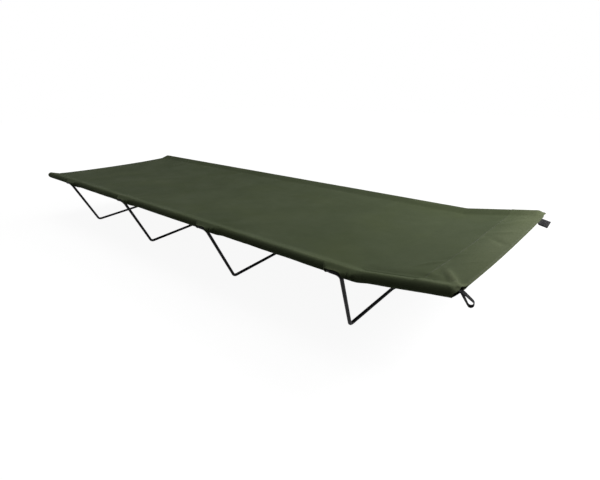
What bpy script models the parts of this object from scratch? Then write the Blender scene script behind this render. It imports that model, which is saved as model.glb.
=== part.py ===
"""Camping cot: a cloth bed on two sectional side poles and four folding W-shaped legs.

Metres, +Z up. The origin is on the floor under the middle of the cot. +X points to the
raised head end and +Y to the far pole. A station is a distance from the foot end tip of
the cloth, measured level along the cot.
"""

import math

import bmesh
import bpy
from mathutils import Matrix, Vector

# Side poles: two round steel tubes, each in three sections
POLE_SPACING = 0.610
POLE_HEIGHT = 0.198
POLE_DIAMETER = 0.020
POLE_WALL = 0.0012
POLE_HEAD_SETBACK = 0.023
FOOT_JOINT_STATION = 0.600
HEAD_JOINT_STATION = 1.250
BEND_STATION = 1.694
BEND_ANGLE = math.radians(8.9)
BEND_RADIUS = 0.060
BEND_STEPS = 5
POLE_SIDES = 32

# Spigots that join the sections, with their rivets, and the plugs in the pole ends
SPIGOT_LENGTH = 0.110
SPIGOT_WALL = 0.0012
RIVET_DIAMETER = 0.0032
RIVET_HEAD_DIAMETER = 0.0060
RIVET_HEAD_HEIGHT = 0.0005
RIVET_TAIL_DIAMETER = 0.0048
RIVET_SETBACK = 0.022
RIVET_DOME = ((0.6, 0.8), (1.0, 0.4))
RIVET_TIP_NARROWING = 0.7
PLUG_DEPTH = 0.014
PLUG_HEAD_LENGTH = 0.0030
PLUG_RIM = 0.0004
PLUG_TIP_LENGTH = 0.002
PLUG_TIP_NARROWING = 0.9
PLUG_FACE_NARROWING = 0.75

# Legs: one bent steel rod each, shaped like a shallow W with a hook at both ends. A foot's
# lead is how far it stands towards the head end from its hooks, and each leg leans a little
# differently.
LEG_STATIONS = (0.236, 0.680, 1.154, 1.625)
FOOT_LEADS = (-0.026, -0.017, 0.008, -0.011)
ROD_DIAMETER = 0.0095
CRANK_LENGTH = 0.036
FOOT_INSET = 0.095
CENTRE_RISE = 0.018
ELBOW_STANDOFF = 0.0006
PIN_OVERHANG = 0.0036
ELBOW_RADIUS = 0.0065
KNEE_RADIUS = 0.012
FOOT_RADIUS = 0.016
CENTRE_RADIUS = 0.060
FOOT_FLAT_DEPTH = 0.0006
ROD_BEVEL_RESOLUTION = 3
ROD_TIP_CHAMFER = 0.0008
ROD_WELD = 0.00001

# Push-on caps that keep the rod ends in the poles
CAP_DIAMETER = 0.0138
CAP_WALL = 0.0010
CAP_FLANGE = 0.0010
CAP_FLOOR_NARROWING = 0.5
CAP_CROWN_NARROWING = 0.7

# Cloth cover: a panel with a sleeve along each side, hems at both ends and two loops
CLOTH = 0.0011
SLEEVE_DIAMETER = 0.0245
SEAM_REACH = 0.034
SEAM_RISE = 0.002
SEAM_THICKNESS = 0.0016
SEAM_SOLID = 0.005
MOUTH_TOP_SETBACK = 0.0015
MOUTH_LOW_SETBACK = 0.0175
MOUTH_SLUMP = 0.45
SLEEVE_END_FOLD = 0.0095
SLEEVE_END_NARROWING = 0.45
SLEEVE_END_SHARES = (0.0, 0.25, 0.6)
SLEEVE_ARC_STEPS = 18
PANEL_FOOT_STATION = 0.012
PANEL_HEAD_STATION = 1.911
PANEL_SAG = 0.005
PANEL_STRIPS = 11
HEM_WIDTH = 0.022
HEM_THICKNESS = 0.0026

# Cut-outs in the sleeves where the hooks of the legs pass
CUTOUT_BEFORE = 0.013
CUTOUT_AFTER = 0.018
CUTOUT_TOP = 0.0058
CUTOUT_INBOARD = 0.019

# Webbing loops at the head corners: the near one hangs open, the far one is pressed flat
LOOP_WIDTH = 0.020
LOOP_THICKNESS = 0.0016
LOOP_MITRE_LIMIT = 0.5
NEAR_LOOP_SEWN = 0.011
NEAR_LOOP_LENGTH = 0.0330
NEAR_LOOP_TIP_RADIUS = 0.0056
NEAR_LOOP_TIP_STEPS = 8
NEAR_LOOP_DROOP = math.radians(63.0)
NEAR_LOOP_TURN = math.radians(41.0)
NEAR_LOOP_ROLL = math.radians(10.0)
NEAR_LOOP_INSET = 0.012
NEAR_LOOP_RISE = 0.0019
LOOP_OVERHANG = 0.0190
FAR_LOOP_INSET = 0.0235
FAR_LOOP_SEWN = (-0.030, -0.018)
FAR_LOOP_SPOTS = (
    (-0.0135, -0.0044, 0.10), (-0.0090, -0.0072, 0.38), (-0.0045, -0.0098, 0.70),
    (0.0005, -0.0122, 0.95), (0.0107, -0.0178, 1.0),
)

# Clearances
TOUCH_GAP = 0.0003
HOLE_CLEARANCE = 0.0004
SLIDE_CLEARANCE = 0.0003
RING_MARGIN = 0.001

# Sizes worked out from the ones above
HALF_SPACING = POLE_SPACING / 2
POLE_RADIUS = POLE_DIAMETER / 2
POLE_BORE = POLE_RADIUS - POLE_WALL
SPIGOT_RADIUS = POLE_BORE - SLIDE_CLEARANCE
ROD_RADIUS = ROD_DIAMETER / 2
SLEEVE_RADIUS = SLEEVE_DIAMETER / 2
HOOK_REACH = POLE_RADIUS + ELBOW_STANDOFF + ELBOW_RADIUS
FOOT_DEPTH = POLE_HEIGHT - ROD_RADIUS + FOOT_FLAT_DEPTH
POLE_FOOT_STATION = SLEEVE_END_FOLD + TOUCH_GAP + PLUG_HEAD_LENGTH
POLE_HEAD_STATION = PANEL_HEAD_STATION - POLE_HEAD_SETBACK
MOUTH_TOP_STATION = PANEL_HEAD_STATION - MOUTH_TOP_SETBACK
MOUTH_LOW_STATION = PANEL_HEAD_STATION - MOUTH_LOW_SETBACK
LAYER_OFFSET = (LOOP_THICKNESS + TOUCH_GAP) / 2
FAR_LOOP_THICKNESS = 2 * LOOP_THICKNESS + TOUCH_GAP
TOTAL_LENGTH = PANEL_HEAD_STATION + LOOP_OVERHANG
FOOT_END_X = -TOTAL_LENGTH / 2

# Colours as Principled base colour, roughness and metallic
FINISHES = {
    "black_steel": ((0.012, 0.012, 0.013), 0.35, 0.85),
    "bright_steel": ((0.45, 0.45, 0.46), 0.35, 1.0),
    "black_plastic": ((0.015, 0.015, 0.015), 0.55, 0.0),
    "olive_cloth": ((0.065, 0.078, 0.043), 0.78, 0.0),
    "black_webbing": ((0.018, 0.018, 0.020), 0.85, 0.0),
}


def clear_scene():
    """Remove every object, so that a second run starts afresh."""
    for obj in list(bpy.data.objects):
        bpy.data.objects.remove(obj, do_unlink=True)


def make_material(part_name, finish):
    """Return a new Principled material for one part."""
    colour, roughness, metallic = FINISHES[finish]
    material = bpy.data.materials.new(part_name + "_" + finish)
    material.use_nodes = True
    shader = material.node_tree.nodes["Principled BSDF"]
    shader.inputs["Base Color"].default_value = (*colour, 1.0)
    shader.inputs["Roughness"].default_value = roughness
    shader.inputs["Metallic"].default_value = metallic
    return material


def link_object(name, mesh, finish):
    """Put a mesh in the scene as one named part with its own material."""
    obj = bpy.data.objects.new(name, mesh)
    bpy.context.scene.collection.objects.link(obj)
    mesh.materials.clear()
    mesh.materials.append(make_material(name, finish))
    return obj


def finish_mesh(bm, name, smooth_angle=math.radians(40)):
    """Turn a bmesh into a mesh whose faces point out and whose round sides are smooth."""
    bmesh.ops.recalc_face_normals(bm, faces=bm.faces)
    mesh = bpy.data.meshes.new(name)
    bm.to_mesh(mesh)
    bm.free()
    mesh.shade_smooth()
    mesh.set_sharp_from_angle(angle=smooth_angle)
    return mesh


def place(obj, location, parent=None):
    """Set an object's place, seen from its parent if it has one."""
    obj.location = location
    if parent is not None:
        obj.parent = parent
    return obj


def loft(rings, closed_loop=False):
    """Join rings of points into one closed skin.

    With closed_loop the last ring joins the first, as in a pipe. Otherwise the first
    and last rings are capped.
    """
    bm = bmesh.new()
    loops = [[bm.verts.new(point) for point in ring] for ring in rings]
    count = len(loops[0])
    pairs = list(zip(loops, loops[1:]))
    if closed_loop:
        pairs.append((loops[-1], loops[0]))
    for first, second in pairs:
        for i in range(count):
            j = (i + 1) % count
            bm.faces.new((first[i], first[j], second[j], second[i]))
    if not closed_loop:
        bm.faces.new(list(reversed(loops[0])))
        bm.faces.new(loops[-1])
    return bm


def turned(profile, sides=24):
    """Spin a profile of (along, radius) points round the X axis into a closed solid."""
    rings = []
    for along, radius in profile:
        angles = [2 * math.pi * i / sides for i in range(sides)]
        rings.append([(along, radius * math.cos(a), radius * math.sin(a)) for a in angles])
    return loft(rings)


def fillet(points, radii, steps=6):
    """Round the inner corners of a route of straight runs with true arcs."""
    route = [Vector(points[0])]
    for i in range(1, len(points) - 1):
        before, corner, after = (Vector(p) for p in points[i - 1:i + 2])
        back = (before - corner).normalized()
        ahead = (after - corner).normalized()
        half = back.angle(ahead) / 2
        reach = radii[i - 1] / math.tan(half)
        centre = corner + (back + ahead).normalized() * (radii[i - 1] / math.sin(half))
        start = corner + back * reach - centre
        end = corner + ahead * reach - centre
        sweep = math.pi - 2 * half
        axis = start.cross(end).normalized()
        for k in range(steps + 1):
            turn = Matrix.Rotation(sweep * k / steps, 3, axis)
            route.append(centre + turn @ start)
    route.append(Vector(points[-1]))
    return route


def station_x(station):
    """Return the world X of a station."""
    return FOOT_END_X + station


def centre_line():
    """Return the (station, height above the level pole) points of the pole's bend."""
    tangent = BEND_RADIUS * math.tan(BEND_ANGLE / 2)
    points = []
    for k in range(BEND_STEPS + 1):
        angle = BEND_ANGLE * k / BEND_STEPS
        station = BEND_STATION - tangent + BEND_RADIUS * math.sin(angle)
        points.append((station, BEND_RADIUS * (1 - math.cos(angle))))
    return points


def rise_at(station):
    """Return how far the pole's centre line has risen at a station."""
    bend = centre_line()
    if station <= bend[0][0]:
        return 0.0
    if station >= bend[-1][0]:
        return bend[-1][1] + (station - bend[-1][0]) * math.tan(BEND_ANGLE)
    reach = (station - bend[0][0]) / BEND_RADIUS
    return BEND_RADIUS * (1 - math.sqrt(max(0.0, 1 - reach * reach)))


def slope_at(station):
    """Return the pole's upward angle at a station."""
    bend = centre_line()
    if station <= bend[0][0]:
        return 0.0
    if station >= bend[-1][0]:
        return BEND_ANGLE
    return math.asin((station - bend[0][0]) / BEND_RADIUS)


def stations_between(first, last):
    """Return the stations a sweep along the pole needs between two stations."""
    inner = [s for s, _ in centre_line() if first + RING_MARGIN < s < last - RING_MARGIN]
    return [first, *inner, last]


def ring_at(station, section):
    """Place a cross-section of (across, up) points square to the pole at a station."""
    slope = slope_at(station)
    rise = rise_at(station)
    ring = []
    for across, up in section:
        x = station_x(station) - up * math.sin(slope)
        ring.append((x, across, POLE_HEIGHT + rise + up * math.cos(slope)))
    return ring


def circle_section(radius, sides=POLE_SIDES):
    """Return a round cross-section."""
    angles = [2 * math.pi * i / sides for i in range(sides)]
    return [(radius * math.cos(a), radius * math.sin(a)) for a in angles]


def pipe_along_pole(first, last, outer, bore):
    """Return a pipe that follows the pole between two stations, about Y = 0."""
    stations = stations_between(first, last)
    rings = [ring_at(s, circle_section(outer)) for s in stations]
    rings += [ring_at(s, circle_section(bore)) for s in reversed(stations)]
    return loft(rings, closed_loop=True)


def add_cutter(name, mesh):
    """Put a cutting shape in the scene, hidden from renders and drawn as wire."""
    cutter = bpy.data.objects.new(name, mesh)
    bpy.context.scene.collection.objects.link(cutter)
    cutter.hide_render = True
    cutter.display_type = "WIRE"
    return cutter


def cut(obj, cutter):
    """Cut one shape out of an object with an exact Boolean."""
    modifier = obj.modifiers.new("cut_" + cutter.name, "BOOLEAN")
    modifier.operation = "DIFFERENCE"
    modifier.solver = "EXACT"
    modifier.object = cutter


def box_mesh(name, low, high):
    """Return a box between two corners."""
    bm = bmesh.new()
    bmesh.ops.create_cube(bm, size=1.0)
    size = Vector(high) - Vector(low)
    middle = (Vector(high) + Vector(low)) / 2
    bmesh.ops.scale(bm, vec=size, verts=bm.verts)
    bmesh.ops.translate(bm, vec=middle, verts=bm.verts)
    return finish_mesh(bm, name)


def rod_hole_cutter(name, station, side):
    """Return a cutter for the cross hole that a leg's hook turns in."""
    reach = POLE_DIAMETER
    radius = ROD_RADIUS + HOLE_CLEARANCE
    bm = turned([(-reach, radius), (reach, radius)])
    bmesh.ops.rotate(bm, matrix=Matrix.Rotation(math.pi / 2, 3, "Z"), verts=bm.verts)
    cutter = add_cutter(name, finish_mesh(bm, name))
    cutter.location = (station_x(station), side * HALF_SPACING, POLE_HEIGHT)
    return cutter


def rivet_hole_cutter(name, station, side):
    """Return a cutter for a rivet's hole in the underside of a pole and its spigot."""
    radius = RIVET_DIAMETER / 2 + TOUCH_GAP
    bm = turned([(0.0, radius), (POLE_DIAMETER, radius)], sides=16)
    bmesh.ops.rotate(bm, matrix=Matrix.Rotation(math.pi / 2, 3, "Y"), verts=bm.verts)
    cutter = add_cutter(name, finish_mesh(bm, name))
    cutter.location = (station_x(station), side * HALF_SPACING, POLE_HEIGHT)
    return cutter


SIDES = {"near": -1, "far": 1}
JOINT_STATIONS = {"foot_joint": FOOT_JOINT_STATION, "head_joint": HEAD_JOINT_STATION}


def build_poles(side_name):
    """Build one side's three pole sections, with the holes for legs and rivets."""
    side = SIDES[side_name]
    half_gap = TOUCH_GAP / 2
    spans = {
        "foot": (POLE_FOOT_STATION, FOOT_JOINT_STATION - half_gap),
        "middle": (FOOT_JOINT_STATION + half_gap, HEAD_JOINT_STATION - half_gap),
        "head": (HEAD_JOINT_STATION + half_gap, POLE_HEAD_STATION),
    }
    poles = {}
    for section, (first, last) in spans.items():
        name = side_name + "_pole_" + section
        bm = pipe_along_pole(first, last, POLE_RADIUS, POLE_BORE)
        pole = link_object(name, finish_mesh(bm, name), "black_steel")
        poles[section] = place(pole, (0.0, side * HALF_SPACING, 0.0))
        for number, station in enumerate(LEG_STATIONS, start=1):
            if first < station < last:
                hole = rod_hole_cutter(f"{name}_hole_{number}", station, side)
                cut(pole, hole)
    return poles


def build_spigots(side_name, poles):
    """Build the two inner tubes that join a side's sections, and their rivets."""
    side = SIDES[side_name]
    holders = {"foot_joint": "foot", "head_joint": "middle"}
    for joint, station in JOINT_STATIONS.items():
        name = side_name + "_" + joint + "_spigot"
        first = station - SPIGOT_LENGTH / 2
        last = station + SPIGOT_LENGTH / 2
        bore = SPIGOT_RADIUS - SPIGOT_WALL
        bm = pipe_along_pole(first, last, SPIGOT_RADIUS, bore)
        spigot = link_object(name, finish_mesh(bm, name), "bright_steel")
        place(spigot, (0.0, side * HALF_SPACING, 0.0))
        rivet_station = station - RIVET_SETBACK
        hole = rivet_hole_cutter(name + "_rivet_hole", rivet_station, side)
        cut(spigot, hole)
        cut(poles[holders[joint]], hole)
        build_rivet(side_name + "_" + joint + "_rivet", rivet_station, side)


def build_rivet(name, station, side):
    """Build a low-headed rivet through the underside of a pole and its spigot."""
    shank = RIVET_DIAMETER / 2
    head = RIVET_HEAD_DIAMETER / 2
    tail = RIVET_TAIL_DIAMETER / 2
    bore = SPIGOT_RADIUS - SPIGOT_WALL
    tail_face = math.sqrt(bore ** 2 - tail ** 2) - TOUCH_GAP
    head_face = POLE_RADIUS + TOUCH_GAP
    profile = [
        (tail_face - RIVET_HEAD_HEIGHT * 2, shank * RIVET_TIP_NARROWING),
        (tail_face - RIVET_HEAD_HEIGHT, tail),
        (tail_face, tail),
        (tail_face, shank),
        (head_face, shank),
        (head_face, head),
    ]
    for height, radius in RIVET_DOME:
        profile.append((head_face + RIVET_HEAD_HEIGHT * height, head * radius))
    bm = turned(profile, sides=16)
    bmesh.ops.rotate(bm, matrix=Matrix.Rotation(math.pi / 2, 3, "Y"), verts=bm.verts)
    rivet = link_object(name, finish_mesh(bm, name), "bright_steel")
    place(rivet, (station_x(station), side * HALF_SPACING, POLE_HEIGHT))


def build_plugs(side_name):
    """Build the plastic plugs in both ends of one side's pole."""
    side = SIDES[side_name]
    stem = POLE_BORE - TOUCH_GAP
    rim = POLE_RADIUS + PLUG_RIM
    profile = [
        (PLUG_DEPTH, stem * PLUG_TIP_NARROWING),
        (PLUG_DEPTH - PLUG_TIP_LENGTH, stem),
        (-TOUCH_GAP, stem),
        (-TOUCH_GAP, rim),
        (-PLUG_HEAD_LENGTH / 2, rim),
        (-PLUG_HEAD_LENGTH, rim * PLUG_FACE_NARROWING),
    ]
    for end, station, turn in (("foot", POLE_FOOT_STATION, 0.0),
                               ("head", POLE_HEAD_STATION, math.pi)):
        name = side_name + "_" + end + "_plug"
        bm = turned(profile)
        tilt = Matrix.Rotation(turn - slope_at(station), 3, "Y")
        bmesh.ops.rotate(bm, matrix=tilt, verts=bm.verts)
        plug = link_object(name, finish_mesh(bm, name), "black_plastic")
        height = POLE_HEIGHT + rise_at(station)
        place(plug, (station_x(station), side * HALF_SPACING, height))


def crank_drop():
    """Return how far the knee lies below the pivot.

    The arm that falls from the knee to the foot then passes just clear of the pole's
    underside, which rests on it in use and stops the leg.
    """
    seat = POLE_RADIUS + ROD_RADIUS + TOUCH_GAP
    span = FOOT_INSET + HOOK_REACH
    a = FOOT_INSET ** 2 - seat ** 2
    b = 2 * FOOT_DEPTH * (HOOK_REACH * FOOT_INSET + seat ** 2)
    c = (HOOK_REACH * FOOT_DEPTH) ** 2 - seat ** 2 * (span ** 2 + FOOT_DEPTH ** 2)
    return (math.sqrt(b * b - 4 * a * c) - b) / (2 * a)


def foot_corner_drop(knee, corner, centre):
    """Return how far a foot's rounded bend stays above its sharp corner."""
    up_to_knee = (Vector(knee) - Vector(corner)).normalized()
    up_to_centre = (Vector(centre) - Vector(corner)).normalized()
    half = up_to_knee.angle(up_to_centre) / 2
    middle = (up_to_knee + up_to_centre).normalized()
    normal = up_to_knee.cross(up_to_centre).normalized()
    lowest = FOOT_RADIUS * math.sqrt(1 - normal.z ** 2)
    return middle.z * FOOT_RADIUS / math.sin(half) - lowest


def leg_route(foot_lead):
    """Return a leg rod's rounded centre line, seen from the pivot axis at mid width."""
    pin_end = HALF_SPACING - POLE_RADIUS - PIN_OVERHANG
    outside = HALF_SPACING + HOOK_REACH
    knee = (CRANK_LENGTH, outside, -crank_drop())
    foot = (foot_lead, HALF_SPACING - FOOT_INSET, -FOOT_DEPTH)
    centre = (foot_lead, 0.0, -FOOT_DEPTH + CENTRE_RISE)
    corner_drop = foot_corner_drop(knee, foot, centre)
    corner = (foot[0], foot[1], foot[2] - corner_drop)
    half = [(0.0, pin_end, 0.0), (0.0, outside, 0.0), knee, corner]
    near = [(x, -y, z) for x, y, z in half]
    corners = near + [centre] + list(reversed(half))
    ends = [ELBOW_RADIUS, KNEE_RADIUS, FOOT_RADIUS]
    return fillet(corners, ends + [CENTRE_RADIUS] + list(reversed(ends)))


def rod_mesh(name, route):
    """Return a solid round rod along a route, made from a bevelled curve."""
    curve = bpy.data.curves.new(name + "_route", "CURVE")
    curve.dimensions = "3D"
    curve.bevel_depth = ROD_RADIUS
    curve.bevel_resolution = ROD_BEVEL_RESOLUTION
    curve.use_fill_caps = True
    start = (route[1] - route[0]).normalized() * ROD_TIP_CHAMFER
    end = (route[-2] - route[-1]).normalized() * ROD_TIP_CHAMFER
    points = [route[0], route[0] + start, *route[1:-1], route[-1] + end, route[-1]]
    spline = curve.splines.new("POLY")
    spline.points.add(len(points) - 1)
    for point, spot in zip(spline.points, points):
        point.co = (*spot, 1.0)
        point.radius = 1.0
    tip = 1.0 - ROD_TIP_CHAMFER / ROD_RADIUS
    spline.points[0].radius = tip
    spline.points[-1].radius = tip
    guide = bpy.data.objects.new(name + "_guide", curve)
    bpy.context.scene.collection.objects.link(guide)
    bpy.context.view_layer.update()
    graph = bpy.context.evaluated_depsgraph_get()
    mesh = bpy.data.meshes.new_from_object(guide.evaluated_get(graph))
    bpy.data.objects.remove(guide, do_unlink=True)
    bm = bmesh.new()
    bm.from_mesh(mesh)
    bmesh.ops.remove_doubles(bm, verts=bm.verts, dist=ROD_WELD)
    return finish_mesh(bm, name)


def build_legs():
    """Build the four legs, each hung from an empty on its hinge axis."""
    low = (-TOTAL_LENGTH, -POLE_SPACING, -POLE_DIAMETER)
    floor = box_mesh("floor_cutter", low, (TOTAL_LENGTH, POLE_SPACING, 0.0))
    floor_cutter = add_cutter("floor_cutter", floor)
    for number, (station, lead) in enumerate(zip(LEG_STATIONS, FOOT_LEADS), start=1):
        hinge = bpy.data.objects.new(f"leg_{number}_hinge_axis", None)
        bpy.context.scene.collection.objects.link(hinge)
        hinge.location = (station_x(station), 0.0, POLE_HEIGHT)
        name = f"leg_{number}_rod"
        rod = link_object(name, rod_mesh(name, leg_route(lead)), "black_steel")
        place(rod, (0.0, 0.0, 0.0), parent=hinge)
        cut(rod, floor_cutter)
        for side_name, side in SIDES.items():
            build_cap(f"leg_{number}_{side_name}_cap", side, hinge)


def build_cap(name, side, hinge):
    """Build the push-on cap on a rod's end, on the inboard face of its pole."""
    inner = ROD_RADIUS + TOUCH_GAP
    outer = inner + CAP_WALL
    flange = CAP_DIAMETER / 2
    dome = PIN_OVERHANG + TOUCH_GAP
    profile = [
        (dome, inner * CAP_FLOOR_NARROWING),
        (dome, inner),
        (TOUCH_GAP, inner),
        (TOUCH_GAP, flange),
        (TOUCH_GAP + CAP_FLANGE, flange),
        (TOUCH_GAP + CAP_FLANGE, outer),
        (dome, outer),
        (dome + CAP_WALL, outer * CAP_CROWN_NARROWING),
    ]
    bm = turned(profile)
    turn = Matrix.Rotation(-side * math.pi / 2, 3, "Z")
    bmesh.ops.rotate(bm, matrix=turn, verts=bm.verts)
    cap = link_object(name, finish_mesh(bm, name), "black_plastic")
    inboard_face = HALF_SPACING - POLE_RADIUS
    place(cap, (0.0, side * inboard_face, 0.0), parent=hinge)


def sleeve_section(radius, reach, thickness, side, scale=1.0):
    """Return a drop-shaped section: round about the pole, drawn in to the seam."""
    apex_top = (reach, SEAM_RISE + thickness / 2)
    apex_low = (reach, SEAM_RISE - thickness / 2)

    def tangent_angle(apex, sign):
        distance = math.hypot(*apex)
        return math.atan2(apex[1], apex[0]) + sign * math.acos(radius / distance)

    first = tangent_angle(apex_top, 1)
    last = tangent_angle(apex_low, -1) + 2 * math.pi
    section = [apex_top]
    for k in range(SLEEVE_ARC_STEPS + 1):
        angle = first + (last - first) * k / SLEEVE_ARC_STEPS
        section.append((radius * math.cos(angle), radius * math.sin(angle)))
    section.append(apex_low)
    return [(-side * across * scale, up * scale) for across, up in section]


def mouth_ring(section, side):
    """Return the oblique ring at the sleeve's open head end.

    Its top and seam reach the panel's edge, its underside stops just past the pole, and
    its upper wall slumps, because no pole holds it up there.
    """
    ring = []
    for across, up in section:
        inboard = min(max(-side * across / SEAM_REACH, 0.0), 1.0)
        depth = min(max((SLEEVE_RADIUS - up) / SLEEVE_DIAMETER, 0.0), 1.0)
        station = MOUTH_TOP_STATION + (MOUTH_LOW_STATION - MOUTH_TOP_STATION) * depth
        station += (MOUTH_TOP_STATION - station) * inboard
        slump = MOUTH_SLUMP if up > SEAM_RISE + SEAM_THICKNESS else 0.0
        ring += ring_at(station, [(across, up * (1 - slump))])
    return ring


def build_sleeve(side_name):
    """Build one side's sleeve, closed at the foot end and open at the head end."""
    side = SIDES[side_name]
    name = side_name + "_sleeve"
    outer = (SLEEVE_RADIUS, SEAM_REACH, SEAM_THICKNESS)
    inner = (SLEEVE_RADIUS - CLOTH, SEAM_REACH - SEAM_SOLID, SEAM_THICKNESS / 2)
    rings = []
    for share in SLEEVE_END_SHARES:
        growth = math.sqrt(1 - (1 - share) ** 2)
        scale = SLEEVE_END_NARROWING + (1 - SLEEVE_END_NARROWING) * growth
        station = SLEEVE_END_FOLD * share
        rings.append(ring_at(station, sleeve_section(*outer, side, scale)))
    held = POLE_HEAD_STATION + PLUG_HEAD_LENGTH / 2
    stations = stations_between(SLEEVE_END_FOLD, held)
    rings += [ring_at(s, sleeve_section(*outer, side)) for s in stations]
    rings.append(mouth_ring(sleeve_section(*outer, side), side))
    rings.append(mouth_ring(sleeve_section(*inner, side), side))
    rings += [ring_at(s, sleeve_section(*inner, side)) for s in reversed(stations)]
    bm = loft(rings)
    sleeve = link_object(name, finish_mesh(bm, name), "olive_cloth")
    place(sleeve, (0.0, side * HALF_SPACING, 0.0))
    for number, station in enumerate(LEG_STATIONS, start=1):
        first = station_x(station) - CUTOUT_BEFORE
        last = station_x(station) + CRANK_LENGTH + CUTOUT_AFTER
        outboard = side * SLEEVE_DIAMETER
        inboard = -side * CUTOUT_INBOARD
        low = (first, min(outboard, inboard), POLE_HEIGHT - SLEEVE_DIAMETER)
        high = (last, max(outboard, inboard), POLE_HEIGHT + CUTOUT_TOP)
        cutter_name = f"{name}_cutout_{number}"
        cutter = add_cutter(cutter_name, box_mesh(cutter_name, low, high))
        cutter.location = (0.0, side * HALF_SPACING, 0.0)
        cut(sleeve, cutter)


def sheet_height(station, across):
    """Return the height of the panel's middle surface above the floor."""
    half = HALF_SPACING - SEAM_REACH
    sag = PANEL_SAG * (1 - (across / half) ** 2)
    return POLE_HEIGHT + rise_at(station) + SEAM_RISE - sag


def sheet_solid(first, last, thickness, extra_stations=()):
    """Return a thin sagging sheet between the seams, as one closed solid."""
    half = HALF_SPACING - SEAM_REACH - TOUCH_GAP
    ends = sorted({first, last, *extra_stations})
    edges = [-half + 2 * half * k / PANEL_STRIPS for k in range(PANEL_STRIPS + 1)]
    rings = []
    for station in ends:
        top = []
        low = []
        for across in edges:
            height = sheet_height(station, across)
            top.append((station_x(station), across, height + thickness / 2))
            low.append((station_x(station), across, height - thickness / 2))
        rings.append(top + list(reversed(low)))
    return loft(rings)


def build_panel():
    """Build the lying surface and the hems across its two ends."""
    first = PANEL_FOOT_STATION + HEM_WIDTH + TOUCH_GAP
    last = PANEL_HEAD_STATION - HEM_WIDTH - TOUCH_GAP
    bends = [s for s, _ in centre_line()]
    bm = sheet_solid(first, last, CLOTH, bends)
    link_object("cover_panel", finish_mesh(bm, "cover_panel"), "olive_cloth")
    spans = {
        "foot_hem": (PANEL_FOOT_STATION, first - TOUCH_GAP),
        "head_hem": (last + TOUCH_GAP, PANEL_HEAD_STATION),
    }
    for name, (start, end) in spans.items():
        bm = sheet_solid(start, end, HEM_THICKNESS)
        link_object(name, finish_mesh(bm, name), "olive_cloth")


def strap_mesh(name, route, widthwise, thickness):
    """Return a flat strap along a route, with its width laid along the given ways."""
    rings = []
    last = len(route) - 1
    for i, spot in enumerate(route):
        before = (spot - route[max(i - 1, 0)]).normalized()
        after = (route[min(i + 1, last)] - spot).normalized()
        along = (before + after).normalized()
        across = widthwise[i] - along * widthwise[i].dot(along)
        across = across.normalized() * (LOOP_WIDTH / 2)
        stretch = 1.0 if i in (0, last) else 1 / max(before.dot(along), LOOP_MITRE_LIMIT)
        out = along.cross(across).normalized() * (thickness / 2 * stretch)
        rings.append([spot - across - out, spot + across - out,
                      spot + across + out, spot - across + out])
    return finish_mesh(loft(rings), name)


def build_near_loop():
    """Build the near corner's loop: sewn inside the sleeve's mouth, hanging open.

    The tape leaves the mouth, turns down, goes round its tip and comes back.
    """
    heading = Vector((math.cos(NEAR_LOOP_TURN), math.sin(NEAR_LOOP_TURN), 0.0))
    down = Vector((0.0, 0.0, -1.0))
    fall = heading * math.cos(NEAR_LOOP_DROOP) + down * math.sin(NEAR_LOOP_DROOP)
    hole_axis = Vector((-heading.y, heading.x, 0.0))
    above_fall = -fall.cross(hole_axis)
    sewn_way = Vector((1.0, 0.0, 0.0))
    sewn_width = Vector((0.0, math.cos(NEAR_LOOP_ROLL), -math.sin(NEAR_LOOP_ROLL)))
    above_sewn = sewn_way.cross(sewn_width)
    mean_width = (hole_axis + sewn_width).normalized()
    half_bend = (above_fall + above_sewn).normalized()
    centre = NEAR_LOOP_LENGTH - NEAR_LOOP_TIP_RADIUS
    first = math.pi / 2 + math.asin((NEAR_LOOP_TIP_RADIUS - LAYER_OFFSET) / centre)
    tip = []
    for k in range(NEAR_LOOP_TIP_STEPS + 1):
        angle = first - 2 * first * k / NEAR_LOOP_TIP_STEPS
        along = centre + NEAR_LOOP_TIP_RADIUS * math.cos(angle)
        tip.append(fall * along + above_fall * (NEAR_LOOP_TIP_RADIUS * math.sin(angle)))
    back = sewn_way * -NEAR_LOOP_SEWN
    bend = half_bend * (LAYER_OFFSET / half_bend.dot(above_sewn))
    route = [back + above_sewn * LAYER_OFFSET, bend, *tip, -bend,
             back - above_sewn * LAYER_OFFSET]
    widthwise = [sewn_width, mean_width, *[hole_axis] * len(tip), mean_width, sewn_width]
    mesh = strap_mesh("near_loop", route, widthwise, LOOP_THICKNESS)
    loop = link_object("near_loop", mesh, "black_webbing")
    root = ring_at(MOUTH_TOP_STATION, [(0.0, NEAR_LOOP_RISE)])[0]
    reach = max(vertex.co.x for vertex in mesh.vertices)
    place(loop, (station_x(TOTAL_LENGTH) - reach, NEAR_LOOP_INSET - HALF_SPACING, root[2]))


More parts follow.
